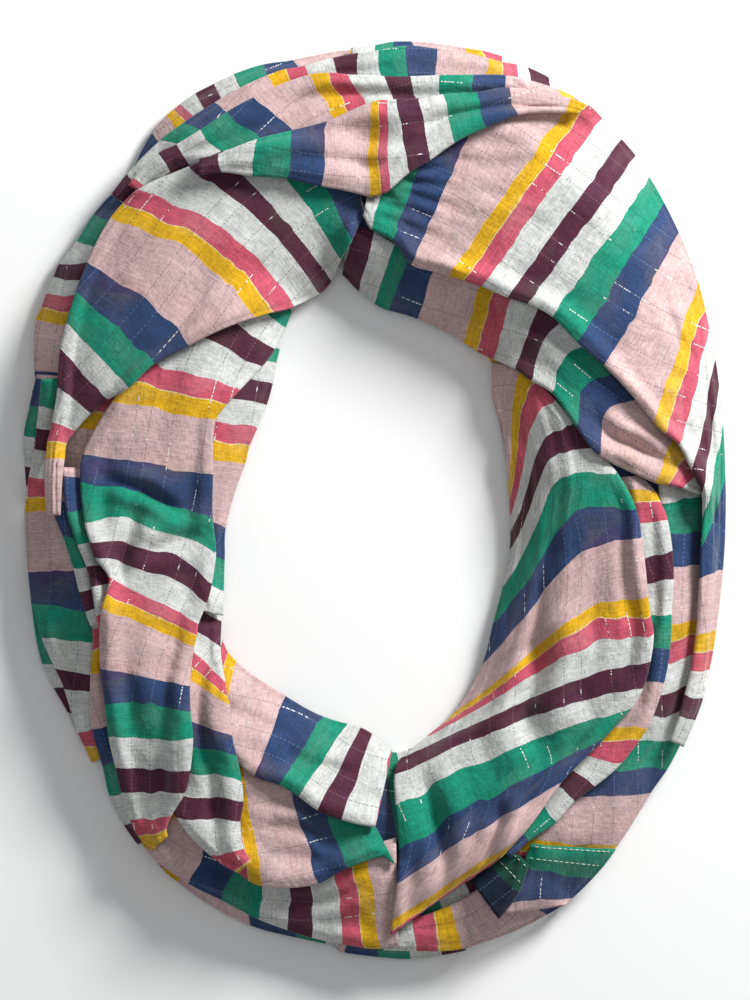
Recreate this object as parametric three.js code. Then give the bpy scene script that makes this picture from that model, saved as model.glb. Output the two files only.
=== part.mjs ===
// Infinity scarf laid flat in a ring: a doubled loop of light striped cloth, its long folded stretches
// lying over one another. Sizes are in millimetres, +Z is up and +Y is the far end of the ring.
import * as THREE from "three";

// The ring: a mid-line ellipse. A place on it is an angle, clockwise from the far end, and an offset
// from the mid-line, which is negative towards the hole.
const ringHalfWidth = 109;
const ringHalfLength = 153;

// Cloth and how it lies
const clothWall = 1.5;
const restGap = 0.12;
const floorGap = 1.2;
const steepestDrop = 2.4;
const endTuck = 16;
const stationSpacing = 12;
const settlingPasses = 60;
const liftPasses = 16;

// Hidden layers in the middle of the heap: folded edges one above another, then a rounded top, whose
// columns are distance in from the lowest edge and share of the height
const coreLayers = 3;
const coreInset = 5;
const coreLayerLean = 4.5;
const coreLayerShare = 0.19;
const coreLayerGroove = 1.3;
const coreTop = [[13.5, 0.62], [20, 0.8], [29, 0.95]];
const coreStations = 48;

// Field of heights that the stretches settle on
const cell = 1;
const fieldHalfWidth = 175;
const fieldHalfLength = 225;

// One repeat of the woven stripes, in clockwise order, with the colour of each
const stripes = {
  pink: { width: 27, colour: 0xdbbcba },
  yellow: { width: 7, colour: 0xe1b414 },
  rose: { width: 7.5, colour: 0xcd5a6e },
  white: { width: 13, colour: 0xd7d9d6 },
  burgundy: { width: 10.5, colour: 0x582337 },
  pale: { width: 12, colour: 0xd7d9d6 },
  green: { width: 13, colour: 0x009678 },
  navy: { width: 13, colour: 0x28416e },
};

// The ring's outline. Columns: angle, offset of the hole's edge, offset of the rim, height of the
// hidden layers there.
const outline = [
  [0, -65.5, 47, 22], [10, -66.5, 51.5, 22], [20, -66.5, 56, 23], [30, -64.5, 57.5, 25],
  [40, -59.5, 58, 26], [50, -52, 56, 26], [60, -49, 53.5, 25], [70, -49.5, 50, 24],
  [80, -50, 48, 23], [90, -48.5, 46.5, 22], [100, -47, 47, 22], [110, -47, 49, 22],
  [120, -46, 51, 22], [130, -42, 49.5, 21], [140, -41, 51, 21], [150, -41.5, 55, 21],
  [160, -44.5, 52.5, 21], [170, -46, 51, 20], [180, -51, 47, 20], [190, -53, 44, 20],
  [200, -52.5, 46, 21], [210, -50, 47, 21], [220, -46, 47, 21], [230, -41, 43, 20],
  [240, -32, 44, 19], [250, -38, 47, 20], [260, -43, 45, 21], [270, -47, 44, 22],
  [280, -53, 46, 23], [290, -57, 51, 24], [300, -55.5, 51.5, 24], [310, -51, 48, 24],
  [320, -49, 46, 23], [330, -52, 52, 22], [340, -49, 51, 22], [350, -62.5, 46, 21],
];

// The stretches that show, from the lowest to the topmost. A section follows a weft line where a
// stripe begins. Columns: that stripe, then angle and offset at the hole's side, then at the rim's side.
// A valley runs between two shares of the length and two shares of the width, from the hole's side; its
// bow and width are shares of the width too, its depth is in millimetres.
const stretches = [
  {
    name: "left_rim_upper_turn",
    rise: 5,
    sections: [
      ["navy", 285.5, 31, 285.5, 43], ["pink", 288.5, 31, 288, 46], ["yellow", 295.5, 33, 294.5, 51.5],
      ["rose", 297.5, 34, 296.5, 51], ["white", 300, 35, 298.5, 51], ["burgundy", 302, 36, 301, 51],
      ["pale", 305, 36, 303, 51], ["green", 307, 36, 307, 48.5], ["navy", 311.5, 37, 311.5, 48],
      ["pink", 318, 36, 318, 45],
    ],
  },
  {
    name: "left_rim_lower_turn",
    rise: 3,
    sections: [
      ["white", 235, 36, 236.5, 43.5], ["burgundy", 238, 35, 240, 43], ["pale", 243.5, 36, 244, 45],
      ["green", 247, 37, 247.5, 46.5], ["navy", 255.5, 37, 256, 45], ["pink", 260, 36, 260, 44.5],
    ],
  },
  {
    name: "left_rim_middle_turn",
    rise: 3,
    sections: [
      ["burgundy", 272, 37, 272, 43.5], ["pale", 275, 37, 275, 44.5], ["green", 279, 36, 279, 46],
      ["navy", 283, 36, 283, 45], ["pink", 288, 34, 287.5, 44],
    ],
  },
  {
    name: "left_rim_roll_turn",
    rise: 6,
    sections: [
      ["yellow", 231.5, 35, 232, 43], ["rose", 233, 34, 234.5, 42.5], ["white", 236, 31, 236.5, 42],
      ["burgundy", 241, 27, 243.5, 40], ["pale", 243.5, 24, 246.5, 41], ["green", 248.5, 19, 251, 43],
      ["navy", 253, 16, 256, 44], ["pink", 259.5, 17, 260.5, 44], ["yellow", 268.5, 23, 268.5, 44],
      ["rose", 270.5, 26, 270.5, 43], ["white", 273, 28, 273, 42], ["burgundy", 277, 28, 277, 40],
      ["pale", 280, 29, 280, 40], ["green", 283, 29, 283, 40], ["navy", 288, 30, 287, 41],
    ],
  },
  {
    name: "left_low_strip_turn",
    rise: 4,
    sections: [
      ["burgundy", 217.5, 40, 218.5, 47.5], ["pale", 221, 37, 222, 46.5], ["green", 225.5, 33, 226.5, 44],
      ["navy", 230.5, 27, 231, 39], ["pink", 235.5, 22, 236.5, 35], ["yellow", 244, 15, 243.5, 27],
      ["rose", 248, 11, 247.5, 22], ["white", 251.5, 8, 251.5, 19],
    ],
  },
  {
    name: "left_outer_fold_turn",
    rise: 3,
    sections: [
      ["white", 251, 13, 251, 20], ["burgundy", 253.5, 14, 253.5, 21], ["pale", 256.5, 14, 256.5, 22],
      ["green", 260, 15, 260, 23], ["navy", 264.5, 18, 264.5, 26], ["pink", 270, 21, 269.5, 31],
      ["yellow", 275, 22, 275, 33],
    ],
  },
  {
    name: "left_inner_fold_turn",
    rise: 3,
    sections: [
      ["rose", 249.5, 10, 249.5, 17], ["white", 252.5, 8, 252.5, 16.5], ["burgundy", 257, 5, 257, 16],
      ["pale", 260, 7, 260, 17], ["green", 263.5, 10, 263.5, 20], ["navy", 269, 12, 268.5, 24],
      ["pink", 275, 13, 275, 27],
    ],
  },
  {
    name: "near_rim_left_turn",
    rise: 3,
    sections: [
      ["pale", 184, 35, 184.5, 46], ["green", 187, 34, 187, 44], ["navy", 192.5, 34, 191.5, 44],
      ["pink", 200, 34, 198.5, 46], ["yellow", 210, 36, 210.5, 47], ["rose", 213, 36, 213.5, 47],
      ["white", 217, 34, 217, 44],
    ],
  },
  {
    name: "near_rim_middle_turn",
    rise: 3,
    sections: [
      ["burgundy", 165.5, 42, 166.5, 52], ["pale", 169.5, 40, 170, 51], ["green", 174, 37, 174.5, 50],
      ["navy", 179, 36, 179, 48], ["pink", 185, 36, 185, 46],
    ],
  },
  {
    name: "near_rim_right_turn",
    rise: 4,
    sections: [
      ["pink", 156.5, 26, 151.5, 54.5], ["yellow", 167, 30, 167, 50], ["rose", 170, 31, 170.5, 48],
      ["white", 173.5, 31, 173.5, 46], ["burgundy", 178.5, 29, 178.5, 44],
    ],
  },
  {
    name: "right_rim_middle_turn",
    rise: 7,
    sections: [
      ["pale", 84.5, 17, 85, 38], ["green", 90, 17, 89.5, 39], ["navy", 94.5, 18, 94.5, 40],
      ["pink", 99.5, 20, 99, 42], ["yellow", 108, 24, 106.5, 44], ["rose", 111, 24, 108.5, 45],
      ["white", 114.5, 25, 111.5, 46], ["burgundy", 119, 28, 115.5, 48], ["pale", 122.5, 29, 119, 50],
      ["green", 127, 27, 123, 50.5], ["navy", 133.5, 22, 127.5, 50.5], ["pink", 140, 19, 132, 49.5],
      ["yellow", 150.5, 18, 140.5, 51.5], ["rose", 154.5, 20, 143.5, 52],
    ],
  },
  {
    name: "join_seam_turn",
    rise: 3,
    sections: [
      ["green", 149.5, 23, 141, 51.5], ["navy", 153.5, 29, 146, 53.5], ["pink", 160.5, 41, 151.5, 54.5],
    ],
  },
  {
    name: "join_seam_tab",
    rise: 3,
    sections: [
      ["green", 153, 17, 152, 29], ["navy", 157.5, 18, 156, 37], ["pink", 162, 21, 160.5, 43],
    ],
  },
  {
    name: "right_low_strip_turn",
    rise: 4,
    sections: [
      ["pink", 86, 0, 86, 9], ["yellow", 88, 2, 88.5, 15], ["rose", 90.5, 4, 90, 17],
      ["white", 94, 5, 92.5, 20], ["burgundy", 100, 6, 97, 23], ["pale", 104, 9, 101, 25],
      ["green", 108, 14, 106.5, 27], ["navy", 112.5, 17, 111.5, 30], ["pink", 117.5, 18, 116.5, 32],
      ["yellow", 127, 13, 123.5, 33], ["rose", 130, 13, 126, 32], ["white", 132.5, 13, 130.5, 30],
      ["burgundy", 135.5, 11, 135.5, 26], ["pale", 139, 8, 139.5, 23], ["green", 143.5, 8, 144, 23],
      ["navy", 149.5, 9, 149.5, 21], ["pink", 154.5, 12, 154, 22],
    ],
  },
  {
    name: "near_rim_band_turn",
    rise: 7,
    sections: [
      ["pink", 174, -5, 176, 42], ["yellow", 181, -2, 178.5, 43], ["rose", 184.5, 1, 181, 43],
      ["white", 188, 7, 184, 42], ["burgundy", 192.5, 12, 189, 41.5], ["pale", 196, 15, 193, 41],
      ["green", 201, 17, 197.5, 41], ["navy", 206.5, 17, 203.5, 41], ["pink", 213, 16, 209, 43.5],
      ["yellow", 218, 22, 217, 45.5], ["rose", 221, 24, 220.5, 42],
    ],
  },
  {
    name: "near_left_front_turn",
    rise: 8,
    sections: [
      ["pale", 179.5, -12, 175, 6], ["green", 186, -19, 178, 2], ["navy", 194.5, -19, 185.5, 8],
      ["pink", 206, -21, 190.5, 17], ["yellow", 216, -11, 199, 26], ["rose", 217.5, -6, 201.5, 27],
      ["white", 219, -2, 204.5, 26],
    ],
  },
  {
    name: "near_hole_roll_turn",
    rise: 8,
    sections: [
      ["white", 170, -42, 179, -11], ["burgundy", 179.5, -50, 188, -13], ["pale", 187.5, -52.5, 195, -14],
      ["green", 196, -52.5, 201, -16], ["navy", 207.5, -50, 206.5, -16], ["pink", 222, -44.5, 212.5, -12],
      ["yellow", 236, -34, 222, -9], ["rose", 239, -32, 225, -8], ["white", 241.5, -32, 228, -9],
    ],
  },
  {
    name: "left_second_strip_turn",
    rise: 6,
    sections: [
      ["rose", 203, 19, 204, 26], ["white", 205.5, 16, 209, 27], ["burgundy", 209, 7.5, 218, 25],
      ["pale", 211, 0, 221.5, 20], ["green", 214, -6, 225, 13], ["navy", 218.5, -12, 229, 6],
      ["pink", 222.5, -16, 233, 0], ["yellow", 228.5, -23, 239, -9], ["rose", 230.5, -24, 241, -13],
      ["white", 233, -26, 243.5, -16], ["burgundy", 240, -30, 247, -20], ["pale", 245, -34, 250, -25],
      ["green", 249, -37, 253, -29],
    ],
  },
  {
    name: "left_hole_roll_turn",
    rise: 5,
    sections: [
      ["pale", 246.5, -36, 248.5, -28], ["green", 251.5, -39, 254.5, -30], ["navy", 258, -42, 260, -32],
      ["pink", 264.5, -44, 267.5, -33], ["yellow", 278, -52, 278.5, -34], ["rose", 282, -53, 282.5, -33],
      ["white", 286.5, -55, 286, -33], ["burgundy", 292.5, -56.5, 291.5, -38],
      ["pale", 298, -56, 296.5, -43], ["green", 303, -54, 302, -44], ["navy", 307, -52.5, 306.5, -42],
    ],
  },
  {
    name: "left_front_turn",
    rise: 10,
    sections: [
      ["yellow", 216.5, 34, 216.5, 43], ["rose", 217.5, 32, 219.5, 43.5], ["white", 218.5, 27, 222, 42],
      ["burgundy", 220, 15, 226, 38], ["pale", 222.5, 7, 229.5, 34], ["green", 227, -2, 234, 30],
      ["navy", 231.5, -7, 239, 25], ["pink", 236, -12, 244.5, 21], ["yellow", 242.5, -20, 253.5, 13],
      ["rose", 244.5, -23, 255.5, 10], ["white", 246.5, -25, 258, 8], ["burgundy", 250, -31, 261, 12],
      ["pale", 253.5, -35, 263.5, 14], ["green", 259.5, -39, 266.5, 16], ["navy", 267, -39, 272.5, 18],
      ["pink", 275.5, -39, 277, 18], ["yellow", 286, -37, 285.5, 9], ["rose", 290, -40, 289.5, 4],
      ["white", 294, -44, 293.5, -3], ["burgundy", 300.5, -49, 301.5, -14], ["pale", 306, -51, 307, -20],
      ["green", 312.5, -50, 313, -25], ["navy", 318, -48, 318.5, -28],
    ],
    valleys: [
      { from: 0.36, to: 0.66, startAcross: 0.7, endAcross: 0.82, bow: 0, depth: 4, width: 0.14 },
    ],
  },
  {
    name: "right_front_turn",
    rise: 12,
    sections: [
      ["pink", 67, -49, 59, -44], ["yellow", 86, -48.5, 63, -34], ["rose", 90, -48, 66.5, -29],
      ["white", 93, -47.5, 70.5, -24], ["burgundy", 96, -47, 75.5, -18], ["pale", 100, -46.5, 80.5, -11],
      ["green", 108, -46.5, 85, -2], ["navy", 117, -46, 91, 6], ["pink", 127, -43, 95.5, 9],
      ["yellow", 142, -41, 104.5, 15], ["rose", 147, -41, 107.5, 18], ["white", 154, -41, 110, 21],
      ["burgundy", 166.5, -38, 114, 23], ["pale", 171, -32, 118, 24], ["green", 172.5, -20, 121.5, 23],
      ["navy", 173.5, -1, 128, 18], ["pink", 175, 14, 138, 13], ["yellow", 176.5, 30, 150.5, 17],
      ["rose", 177, 37, 156.5, 20],
    ],
    valleys: [
      { from: 0.28, to: 0.78, startAcross: 0.4, endAcross: 0.66, bow: -0.1, depth: 7, width: 0.08 },
      { from: 0.62, to: 0.99, startAcross: 0.08, endAcross: 0.42, bow: -0.03, depth: 4, width: 0.07 },
    ],
  },
  {
    name: "far_right_hole_roll_turn",
    rise: 7,
    sections: [
      ["burgundy", -18, -50, -7.5, -31], ["pale", -11.5, -59.5, 1, -35], ["green", 4, -65.5, 10.5, -39],
      ["navy", 20, -66.5, 18.5, -38], ["pink", 36, -61.5, 28, -37], ["yellow", 51, -51.5, 40, -28],
      ["rose", 55, -48, 43, -24], ["white", 58.5, -43, 46.5, -20], ["burgundy", 62.5, -36, 51.5, -12],
      ["pale", 66, -31, 57, -6], ["green", 69.5, -24, 63, 1], ["navy", 76.5, -17, 68.5, 5],
      ["pink", 82, -9, 73.5, 13], ["yellow", 87, 14, 80.5, 24], ["rose", 87.5, 20, 82.5, 30],
      ["white", 88, 26, 85, 36], ["burgundy", 89, 34, 87.5, 42],
    ],
  },
  {
    name: "far_rim_left_turn",
    rise: 4,
    sections: [
      ["navy", -40, 41, -40, 46], ["pink", -35, 43, -34.5, 50.5], ["yellow", -32, 43, -31.5, 52],
      ["rose", -30, 42, -30, 52],
      ["white", -28.5, 42, -29, 52], ["burgundy", -27, 41, -26.5, 52], ["pale", -24, 41, -23.5, 51],
      ["green", -20.5, 40, -20.5, 50.5], ["navy", -16, 40, -16, 49], ["pink", -11, 39, -11.5, 46.5],
      ["yellow", -3, 39, -3.5, 46.5], ["rose", 1, 39, 1, 47],
    ],
  },
  {
    name: "far_rim_right_turn",
    rise: 4,
    sections: [
      ["pale", -3, 39, -3, 47], ["green", 0.5, 39, 0.5, 48], ["navy", 3.5, 40, 3, 50],
      ["pink", 8, 41, 5.5, 51], ["yellow", 15.5, 45, 13, 53.5], ["rose", 18, 46, 15.5, 55],
      ["white", 20.5, 46, 18, 56], ["burgundy", 24.5, 47, 22, 57], ["pale", 27, 49, 25, 58],
      ["green", 31, 51, 28, 58],
    ],
  },
  {
    name: "far_back_turn",
    rise: 5,
    sections: [
      ["burgundy", -45, 40, -45, 46], ["pale", -41.5, 39, -41.5, 46], ["green", -32, 33, -34.5, 45],
      ["navy", -28.5, 32, -30.5, 44], ["pink", -23.5, 31, -25, 43], ["yellow", -16, 32, -16.5, 43],
      ["rose", -13, 32, -13.5, 43], ["white", -10, 31, -10.5, 42], ["burgundy", -5.5, 31, -6, 43],
      ["pale", -2.5, 29, -2, 44], ["green", 1.5, 28, 1, 45], ["navy", 6, 28, 5, 48],
      ["pink", 10.5, 31, 9.5, 49], ["yellow", 17.5, 39, 16.5, 52], ["rose", 20, 43, 18.5, 53],
      ["white", 22.5, 46, 20.5, 55],
    ],
  },
  {
    name: "far_middle_turn",
    rise: 6,
    sections: [
      ["white", -42, 34, -42.5, 42], ["burgundy", -37, 32, -36, 41], ["pale", -34, 28, -33, 38],
      ["green", -29, 18, -28.5, 36], ["navy", -21, 12, -23.5, 36], ["pink", -14.5, 10, -18.5, 36],
      ["yellow", -7.5, 12, -9.5, 37], ["rose", -4.5, 13, -6.5, 36], ["white", -0.5, 14, -3.5, 34],
      ["burgundy", 4.5, 16, 2, 33], ["pale", 8.5, 18, 6, 34], ["green", 12, 22, 10.5, 37],
      ["navy", 17, 29, 15.5, 42], ["pink", 21.5, 37, 20, 48], ["yellow", 30, 51, 27, 55],
      ["rose", 32, 53, 29.5, 57], ["white", 34, 54, 32, 57],
    ],
  },
  {
    name: "far_left_front_turn",
    rise: 12,
    sections: [
      ["pink", 268, 27, 268, 33], ["yellow", 276, 26, 276, 34], ["rose", 278.5, 26, 278.5, 34],
      ["white", 280.5, 23, 281, 33], ["burgundy", 283.5, 17, 286, 33], ["pale", 286, 11, 291.5, 36],
      ["green", 288.5, 3, 295.5, 37], ["navy", 293.5, -5, 300.5, 38], ["pink", 299, -17, 305, 39],
      ["yellow", 310, -36, 312, 40], ["rose", 313.5, -41, 315, 39], ["white", 318.5, -47, 318, 37],
      ["burgundy", 329, -51.5, 326, 27], ["pale", 336, -50, 332, 22], ["green", 344, -44, 338.5, 15],
      ["navy", 351, -38, 345, 10], ["pink", 358, -26, 353, 9],
    ],
  },
  {
    name: "far_right_front_turn",
    rise: 12,
    sections: [
      ["pale", -3, -28, 2, 14], ["green", 0, -34, 6, 17], ["navy", 9.5, -38, 12, 13],
      ["pink", 20.5, -45, 19, 26], ["yellow", 33.5, -39.5, 29.5, 48], ["rose", 38, -36, 31.5, 57],
      ["white", 42, -32, 34, 58], ["burgundy", 47.5, -26, 38, 58], ["pale", 51, -20, 41, 58],
      ["green", 55.5, -13, 44.5, 57], ["navy", 62, -7, 48.5, 56], ["pink", 67.5, 1, 53, 55],
      ["yellow", 77.5, 16, 60, 53.5], ["rose", 79.5, 20, 64, 52], ["white", 81.5, 26, 67, 51],
      ["burgundy", 85.5, 31, 71, 50], ["pale", 88.5, 35, 74.5, 49], ["green", 92, 36, 79.5, 48],
      ["navy", 96.5, 36, 87, 47], ["pink", 101, 37, 99, 47.5], ["yellow", 108.5, 40, 107.5, 49],
      ["rose", 111, 41, 110.5, 50], ["white", 113.5, 42, 113, 50.5], ["burgundy", 117, 43, 117, 51.5],
      ["pale", 120, 44, 120, 51.5], ["green", 124, 45, 124, 51.5],
    ],
  },
  {
    name: "far_front_turn",
    rise: 8,
    sections: [
      ["burgundy", -34, 21, -32, 26], ["pale", -30.5, 15, -29, 22], ["green", -26.5, 6, -22, 18],
      ["navy", -20.5, -3, -15, 15], ["pink", -13.5, -12, -8, 15], ["yellow", -1, -20, 0, 21],
      ["rose", 2.5, -19, 1.5, 22], ["white", 5, -17, 3, 22], ["burgundy", 9.5, -8, 4.5, 23],
      ["pale", 13.5, 0, 8.5, 25], ["green", 17, 11, 12, 29], ["navy", 21, 23, 17, 35],
      ["pink", 24.5, 35, 21, 43], ["yellow", 30, 48, 29.5, 54.5], ["rose", 31.5, 51, 32, 57],
    ],
  },
];

const radians = (degrees) => (degrees * Math.PI) / 180;

function ringPoint(angle, offset) {
  const sine = Math.sin(radians(angle));
  const cosine = Math.cos(radians(angle));
  const outward = new THREE.Vector2(ringHalfLength * sine, ringHalfWidth * cosine).normalize();
  return new THREE.Vector2(ringHalfWidth * sine, ringHalfLength * cosine).addScaledVector(outward, offset);
}

// Smooth value between table rows: a Hermite curve through them, for one column
function columnAt(rows, places, column, place) {
  let row = 0;
  while (row < rows.length - 2 && places[row + 1] < place) {
    row += 1;
  }
  const slopeAt = (index) => {
    const before = Math.max(index - 1, 0);
    const after = Math.min(index + 1, rows.length - 1);
    return (rows[after][column] - rows[before][column]) / (places[after] - places[before]);
  };
  const span = places[row + 1] - places[row];
  const t = (place - places[row]) / span;
  return (
    rows[row][column] * (1 + 2 * t) * (1 - t) ** 2 +
    slopeAt(row) * span * t * (1 - t) ** 2 +
    rows[row + 1][column] * t * t * (3 - 2 * t) +
    slopeAt(row + 1) * span * t * t * (t - 1)
  );
}

// Distance of each section along the stretch, measured through the middles of the sections
function sectionPlaces(sections) {
  const middles = sections.map(([, holeAngle, hole, rimAngle, rim]) =>
    ringPoint(holeAngle, hole).add(ringPoint(rimAngle, rim)).multiplyScalar(0.5),
  );
  const places = [0];
  for (let index = 1; index < middles.length; index += 1) {
    places.push(places[index - 1] + Math.max(middles[index].distanceTo(middles[index - 1]), 1));
  }
  return places;
}

// The field of heights: the top of all that has been laid so far
const fieldColumns = Math.round((2 * fieldHalfWidth) / cell);
const fieldRows = Math.round((2 * fieldHalfLength) / cell);
const field = new Float64Array(fieldColumns * fieldRows);

function eachCellUnder(a, b, c, visit) {
  const margin = 0.6 * cell;
  const columnOf = (x) => (x + fieldHalfWidth) / cell;
  const rowOf = (y) => (y + fieldHalfLength) / cell;
  const low = Math.min(a.z, b.z, c.z);
  const high = Math.max(a.z, b.z, c.z);
  const area = (b.x - a.x) * (c.y - a.y) - (c.x - a.x) * (b.y - a.y);
  const side = Math.sign(area) || 1;
  const edges = [[a, b], [b, c], [c, a]];
  const firstColumn = Math.floor(columnOf(Math.min(a.x, b.x, c.x)) - 1);
  const lastColumn = Math.ceil(columnOf(Math.max(a.x, b.x, c.x)) + 1);
  const firstRow = Math.floor(rowOf(Math.min(a.y, b.y, c.y)) - 1);
  const lastRow = Math.ceil(rowOf(Math.max(a.y, b.y, c.y)) + 1);
  for (let row = firstRow; row <= lastRow; row += 1) {
    for (let column = firstColumn; column <= lastColumn; column += 1) {
      const x = (column + 0.5) * cell - fieldHalfWidth;
      const y = (row + 0.5) * cell - fieldHalfLength;
      const inside = edges.every(([p, q]) => {
        const length = Math.hypot(q.x - p.x, q.y - p.y) || 1;
        return side * ((q.x - p.x) * (y - p.y) - (q.y - p.y) * (x - p.x)) >= -margin * length;
      });
      if (inside) {
        const u = ((x - a.x) * (c.y - a.y) - (c.x - a.x) * (y - a.y)) / (area || 1);
        const v = ((b.x - a.x) * (y - a.y) - (x - a.x) * (b.y - a.y)) / (area || 1);
        const height = a.z + u * (b.z - a.z) + v * (c.z - a.z);
        visit(row * fieldColumns + column, Math.min(Math.max(height, low), high));
      }
    }
  }
}

function fieldAround(index, reach) {
  let highest = 0;
  for (let row = -reach; row <= reach; row += 1) {
    for (let column = -reach; column <= reach; column += 1) {
      highest = Math.max(highest, field[index + row * fieldColumns + column]);
    }
  }
  return highest;
}

function fieldIndex(x, y) {
  const column = Math.floor((x + fieldHalfWidth) / cell);
  const row = Math.floor((y + fieldHalfLength) / cell);
  return row * fieldColumns + column;
}

function restHeight(x, y, reach) {
  const below = fieldAround(fieldIndex(x, y), reach);
  return (below > 0 ? below + restGap : floorGap) + clothWall / 2;
}

// Places across a stretch, closer together where its folded edges turn down
function acrossPlaces(width) {
  if (width < 16) {
    return [0, 0.2, 0.5, 0.8, 1];
  }
  if (width < 70) {
    return [0, 0.04, 0.12, 0.25, 0.42, 0.58, 0.75, 0.88, 0.96, 1];
  }
  return [0, 0.03, 0.08, 0.16, 0.25, 0.33, 0.42, 0.5, 0.58, 0.67, 0.75, 0.84, 0.92, 0.97, 1];
}

const crown = (across) => (1 - Math.abs(2 * across - 1) ** 2.6) ** 0.62;

function valleyDepth(valleys, along, across) {
  let depth = 0;
  for (const valley of valleys) {
    const t = (along - valley.from) / (valley.to - valley.from);
    if (t > 0 && t < 1) {
      const straight = valley.startAcross + t * (valley.endAcross - valley.startAcross);
      const line = straight + valley.bow * Math.sin(Math.PI * t);
      const fade = Math.sin(Math.PI * t) ** 0.5;
      depth += valley.depth * fade * Math.exp(-(((across - line) / valley.width) ** 2));
    }
  }
  return depth;
}

function layStretch({ name, rise, sections, valleys = [] }) {
  const places = sectionPlaces(sections);
  const length = places[places.length - 1];
  const steps = Math.max(Math.round(length / stationSpacing), 3);
  const widths = sections.map(([, holeAngle, hole, rimAngle, rim]) =>
    ringPoint(holeAngle, hole).distanceTo(ringPoint(rimAngle, rim)),
  );
  const across = acrossPlaces(Math.max(...widths));
  const grid = [];
  for (let step = 0; step <= steps; step += 1) {
    const place = (length * step) / steps;
    const [holeAngle, hole, rimAngle, rim] = [1, 2, 3, 4].map((c) => columnAt(sections, places, c, place));
    const holePoint = ringPoint(holeAngle, hole);
    const rimPoint = ringPoint(rimAngle, rim);
    grid.push(across.map((share) => holePoint.clone().lerp(rimPoint, share)));
  }
  const points = settle({ grid, across, rise, valleys, length });
  return wallGeometry(points, name);
}

// A sheet pulled over what lies below, plumped up between its edges, then lifted clear of it
function settle({ grid, across, rise, valleys, length }) {
  const steps = grid.length - 1;
  const last = across.length - 1;
  const low = grid.map((station) => station.map((p) => restHeight(p.x, p.y, 2)));
  const points = grid.map((station, i) => station.map((p, j) => new THREE.Vector3(p.x, p.y, low[i][j])));
  for (let pass = 0; pass < settlingPasses; pass += 1) {
    for (let i = 0; i <= steps; i += 1) {
      for (let j = 0; j <= last; j += 1) {
        const onEdge = i === 0 || i === steps || j === 0 || j === last;
        if (!onEdge) {
          const near = [points[i - 1][j], points[i + 1][j], points[i][j - 1], points[i][j + 1]];
          const mean = near.reduce((sum, p) => sum + p.z, 0) / near.length;
          points[i][j].z = Math.max(low[i][j], mean);
        }
      }
    }
  }
  points.forEach((station, i) => {
    const width = station[0].distanceTo(station[last]);
    const fromEnd = (Math.min(i, steps - i) / steps) * length;
    const tuck = Math.min(fromEnd / endTuck, 1);
    const plump = Math.min(rise, 0.28 * width) * Math.sqrt(tuck * (2 - tuck));
    station.forEach((p, j) => {
      p.z += plump * crown(across[j]) - valleyDepth(valleys, i / steps, across[j]);
      p.z = Math.max(p.z, low[i][j]);
    });
    for (const [edge, inner] of [[0, 1], [last, last - 1]]) {
      const run = Math.hypot(station[edge].x - station[inner].x, station[edge].y - station[inner].y);
      station[edge].z = Math.max(station[edge].z, station[inner].z - steepestDrop * run);
    }
  });
  for (let pass = 0; pass < liftPasses; pass += 1) {
    const { under } = wallSides(points);
    const lift = points.map((station) => station.map(() => 0));
    let most = 0;
    eachTriangle(points, (corners) => {
      const [a, b, c] = corners.map(([i, j]) => under[i][j]);
      let short = 0;
      eachCellUnder(a, b, c, (index, height) => {
        short = Math.max(short, fieldAround(index, 1) + restGap - height);
      });
      most = Math.max(most, short);
      corners.forEach(([i, j]) => {
        lift[i][j] = Math.max(lift[i][j], short);
      });
    });
    points.forEach((station, i) => station.forEach((p, j) => {
      p.z += lift[i][j];
    }));
    if (most < 0.02) {
      break;
    }
  }
  const { over } = wallSides(points);
  eachTriangle(points, (corners) => {
    const [a, b, c] = corners.map(([i, j]) => over[i][j]);
    eachCellUnder(a, b, c, (index, height) => {
      field[index] = Math.max(field[index], height);
    });
  });
  return points;
}

function eachTriangle(points, visit) {
  for (let i = 0; i < points.length - 1; i += 1) {
    for (let j = 0; j < points[0].length - 1; j += 1) {
      visit([[i, j], [i + 1, j], [i + 1, j + 1]]);
      visit([[i, j], [i + 1, j + 1], [i, j + 1]]);
    }
  }
}

function wallSides(points) {
  const steps = points.length - 1;
  const last = points[0].length - 1;
  const normals = points.map((station, i) => station.map((p, j) => {
    const along = points[Math.min(i + 1, steps)][j].clone().sub(points[Math.max(i - 1, 0)][j]);
    const aside = points[i][Math.min(j + 1, last)].clone().sub(points[i][Math.max(j - 1, 0)]);
    const normal = aside.cross(along).normalize();
    return normal.z < 0 ? normal.negate() : normal;
  }));
  const shifted = (share) => points.map((station, i) =>
    station.map((p, j) => p.clone().addScaledVector(normals[i][j], share * clothWall)),
  );
  return { over: shifted(0.5), under: shifted(-0.5) };
}

function wallGeometry(points, name) {
  const { over, under } = wallSides(points);
  const columns = points[0].length;
  const count = points.length * columns;
  const at = (i, j) => i * columns + j;
  const faces = [];
  eachTriangle(points, (corners) => {
    const [a, b, c] = corners.map(([i, j]) => at(i, j));
    faces.push(a, b, c, count + a, count + c, count + b);
  });
  const rim = [];
  for (let j = 0; j < columns - 1; j += 1) {
    rim.push(at(0, j));
  }
  for (let i = 0; i < points.length - 1; i += 1) {
    rim.push(at(i, columns - 1));
  }
  for (let j = columns - 1; j > 0; j -= 1) {
    rim.push(at(points.length - 1, j));
  }
  for (let i = points.length - 1; i > 0; i -= 1) {
    rim.push(at(i, 0));
  }
  rim.forEach((a, index) => {
    const b = rim[(index + 1) % rim.length];
    faces.push(a, b, count + b, a, count + b, count + a);
  });
  return facingOut([...over.flat(), ...under.flat()], faces, name);
}

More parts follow.
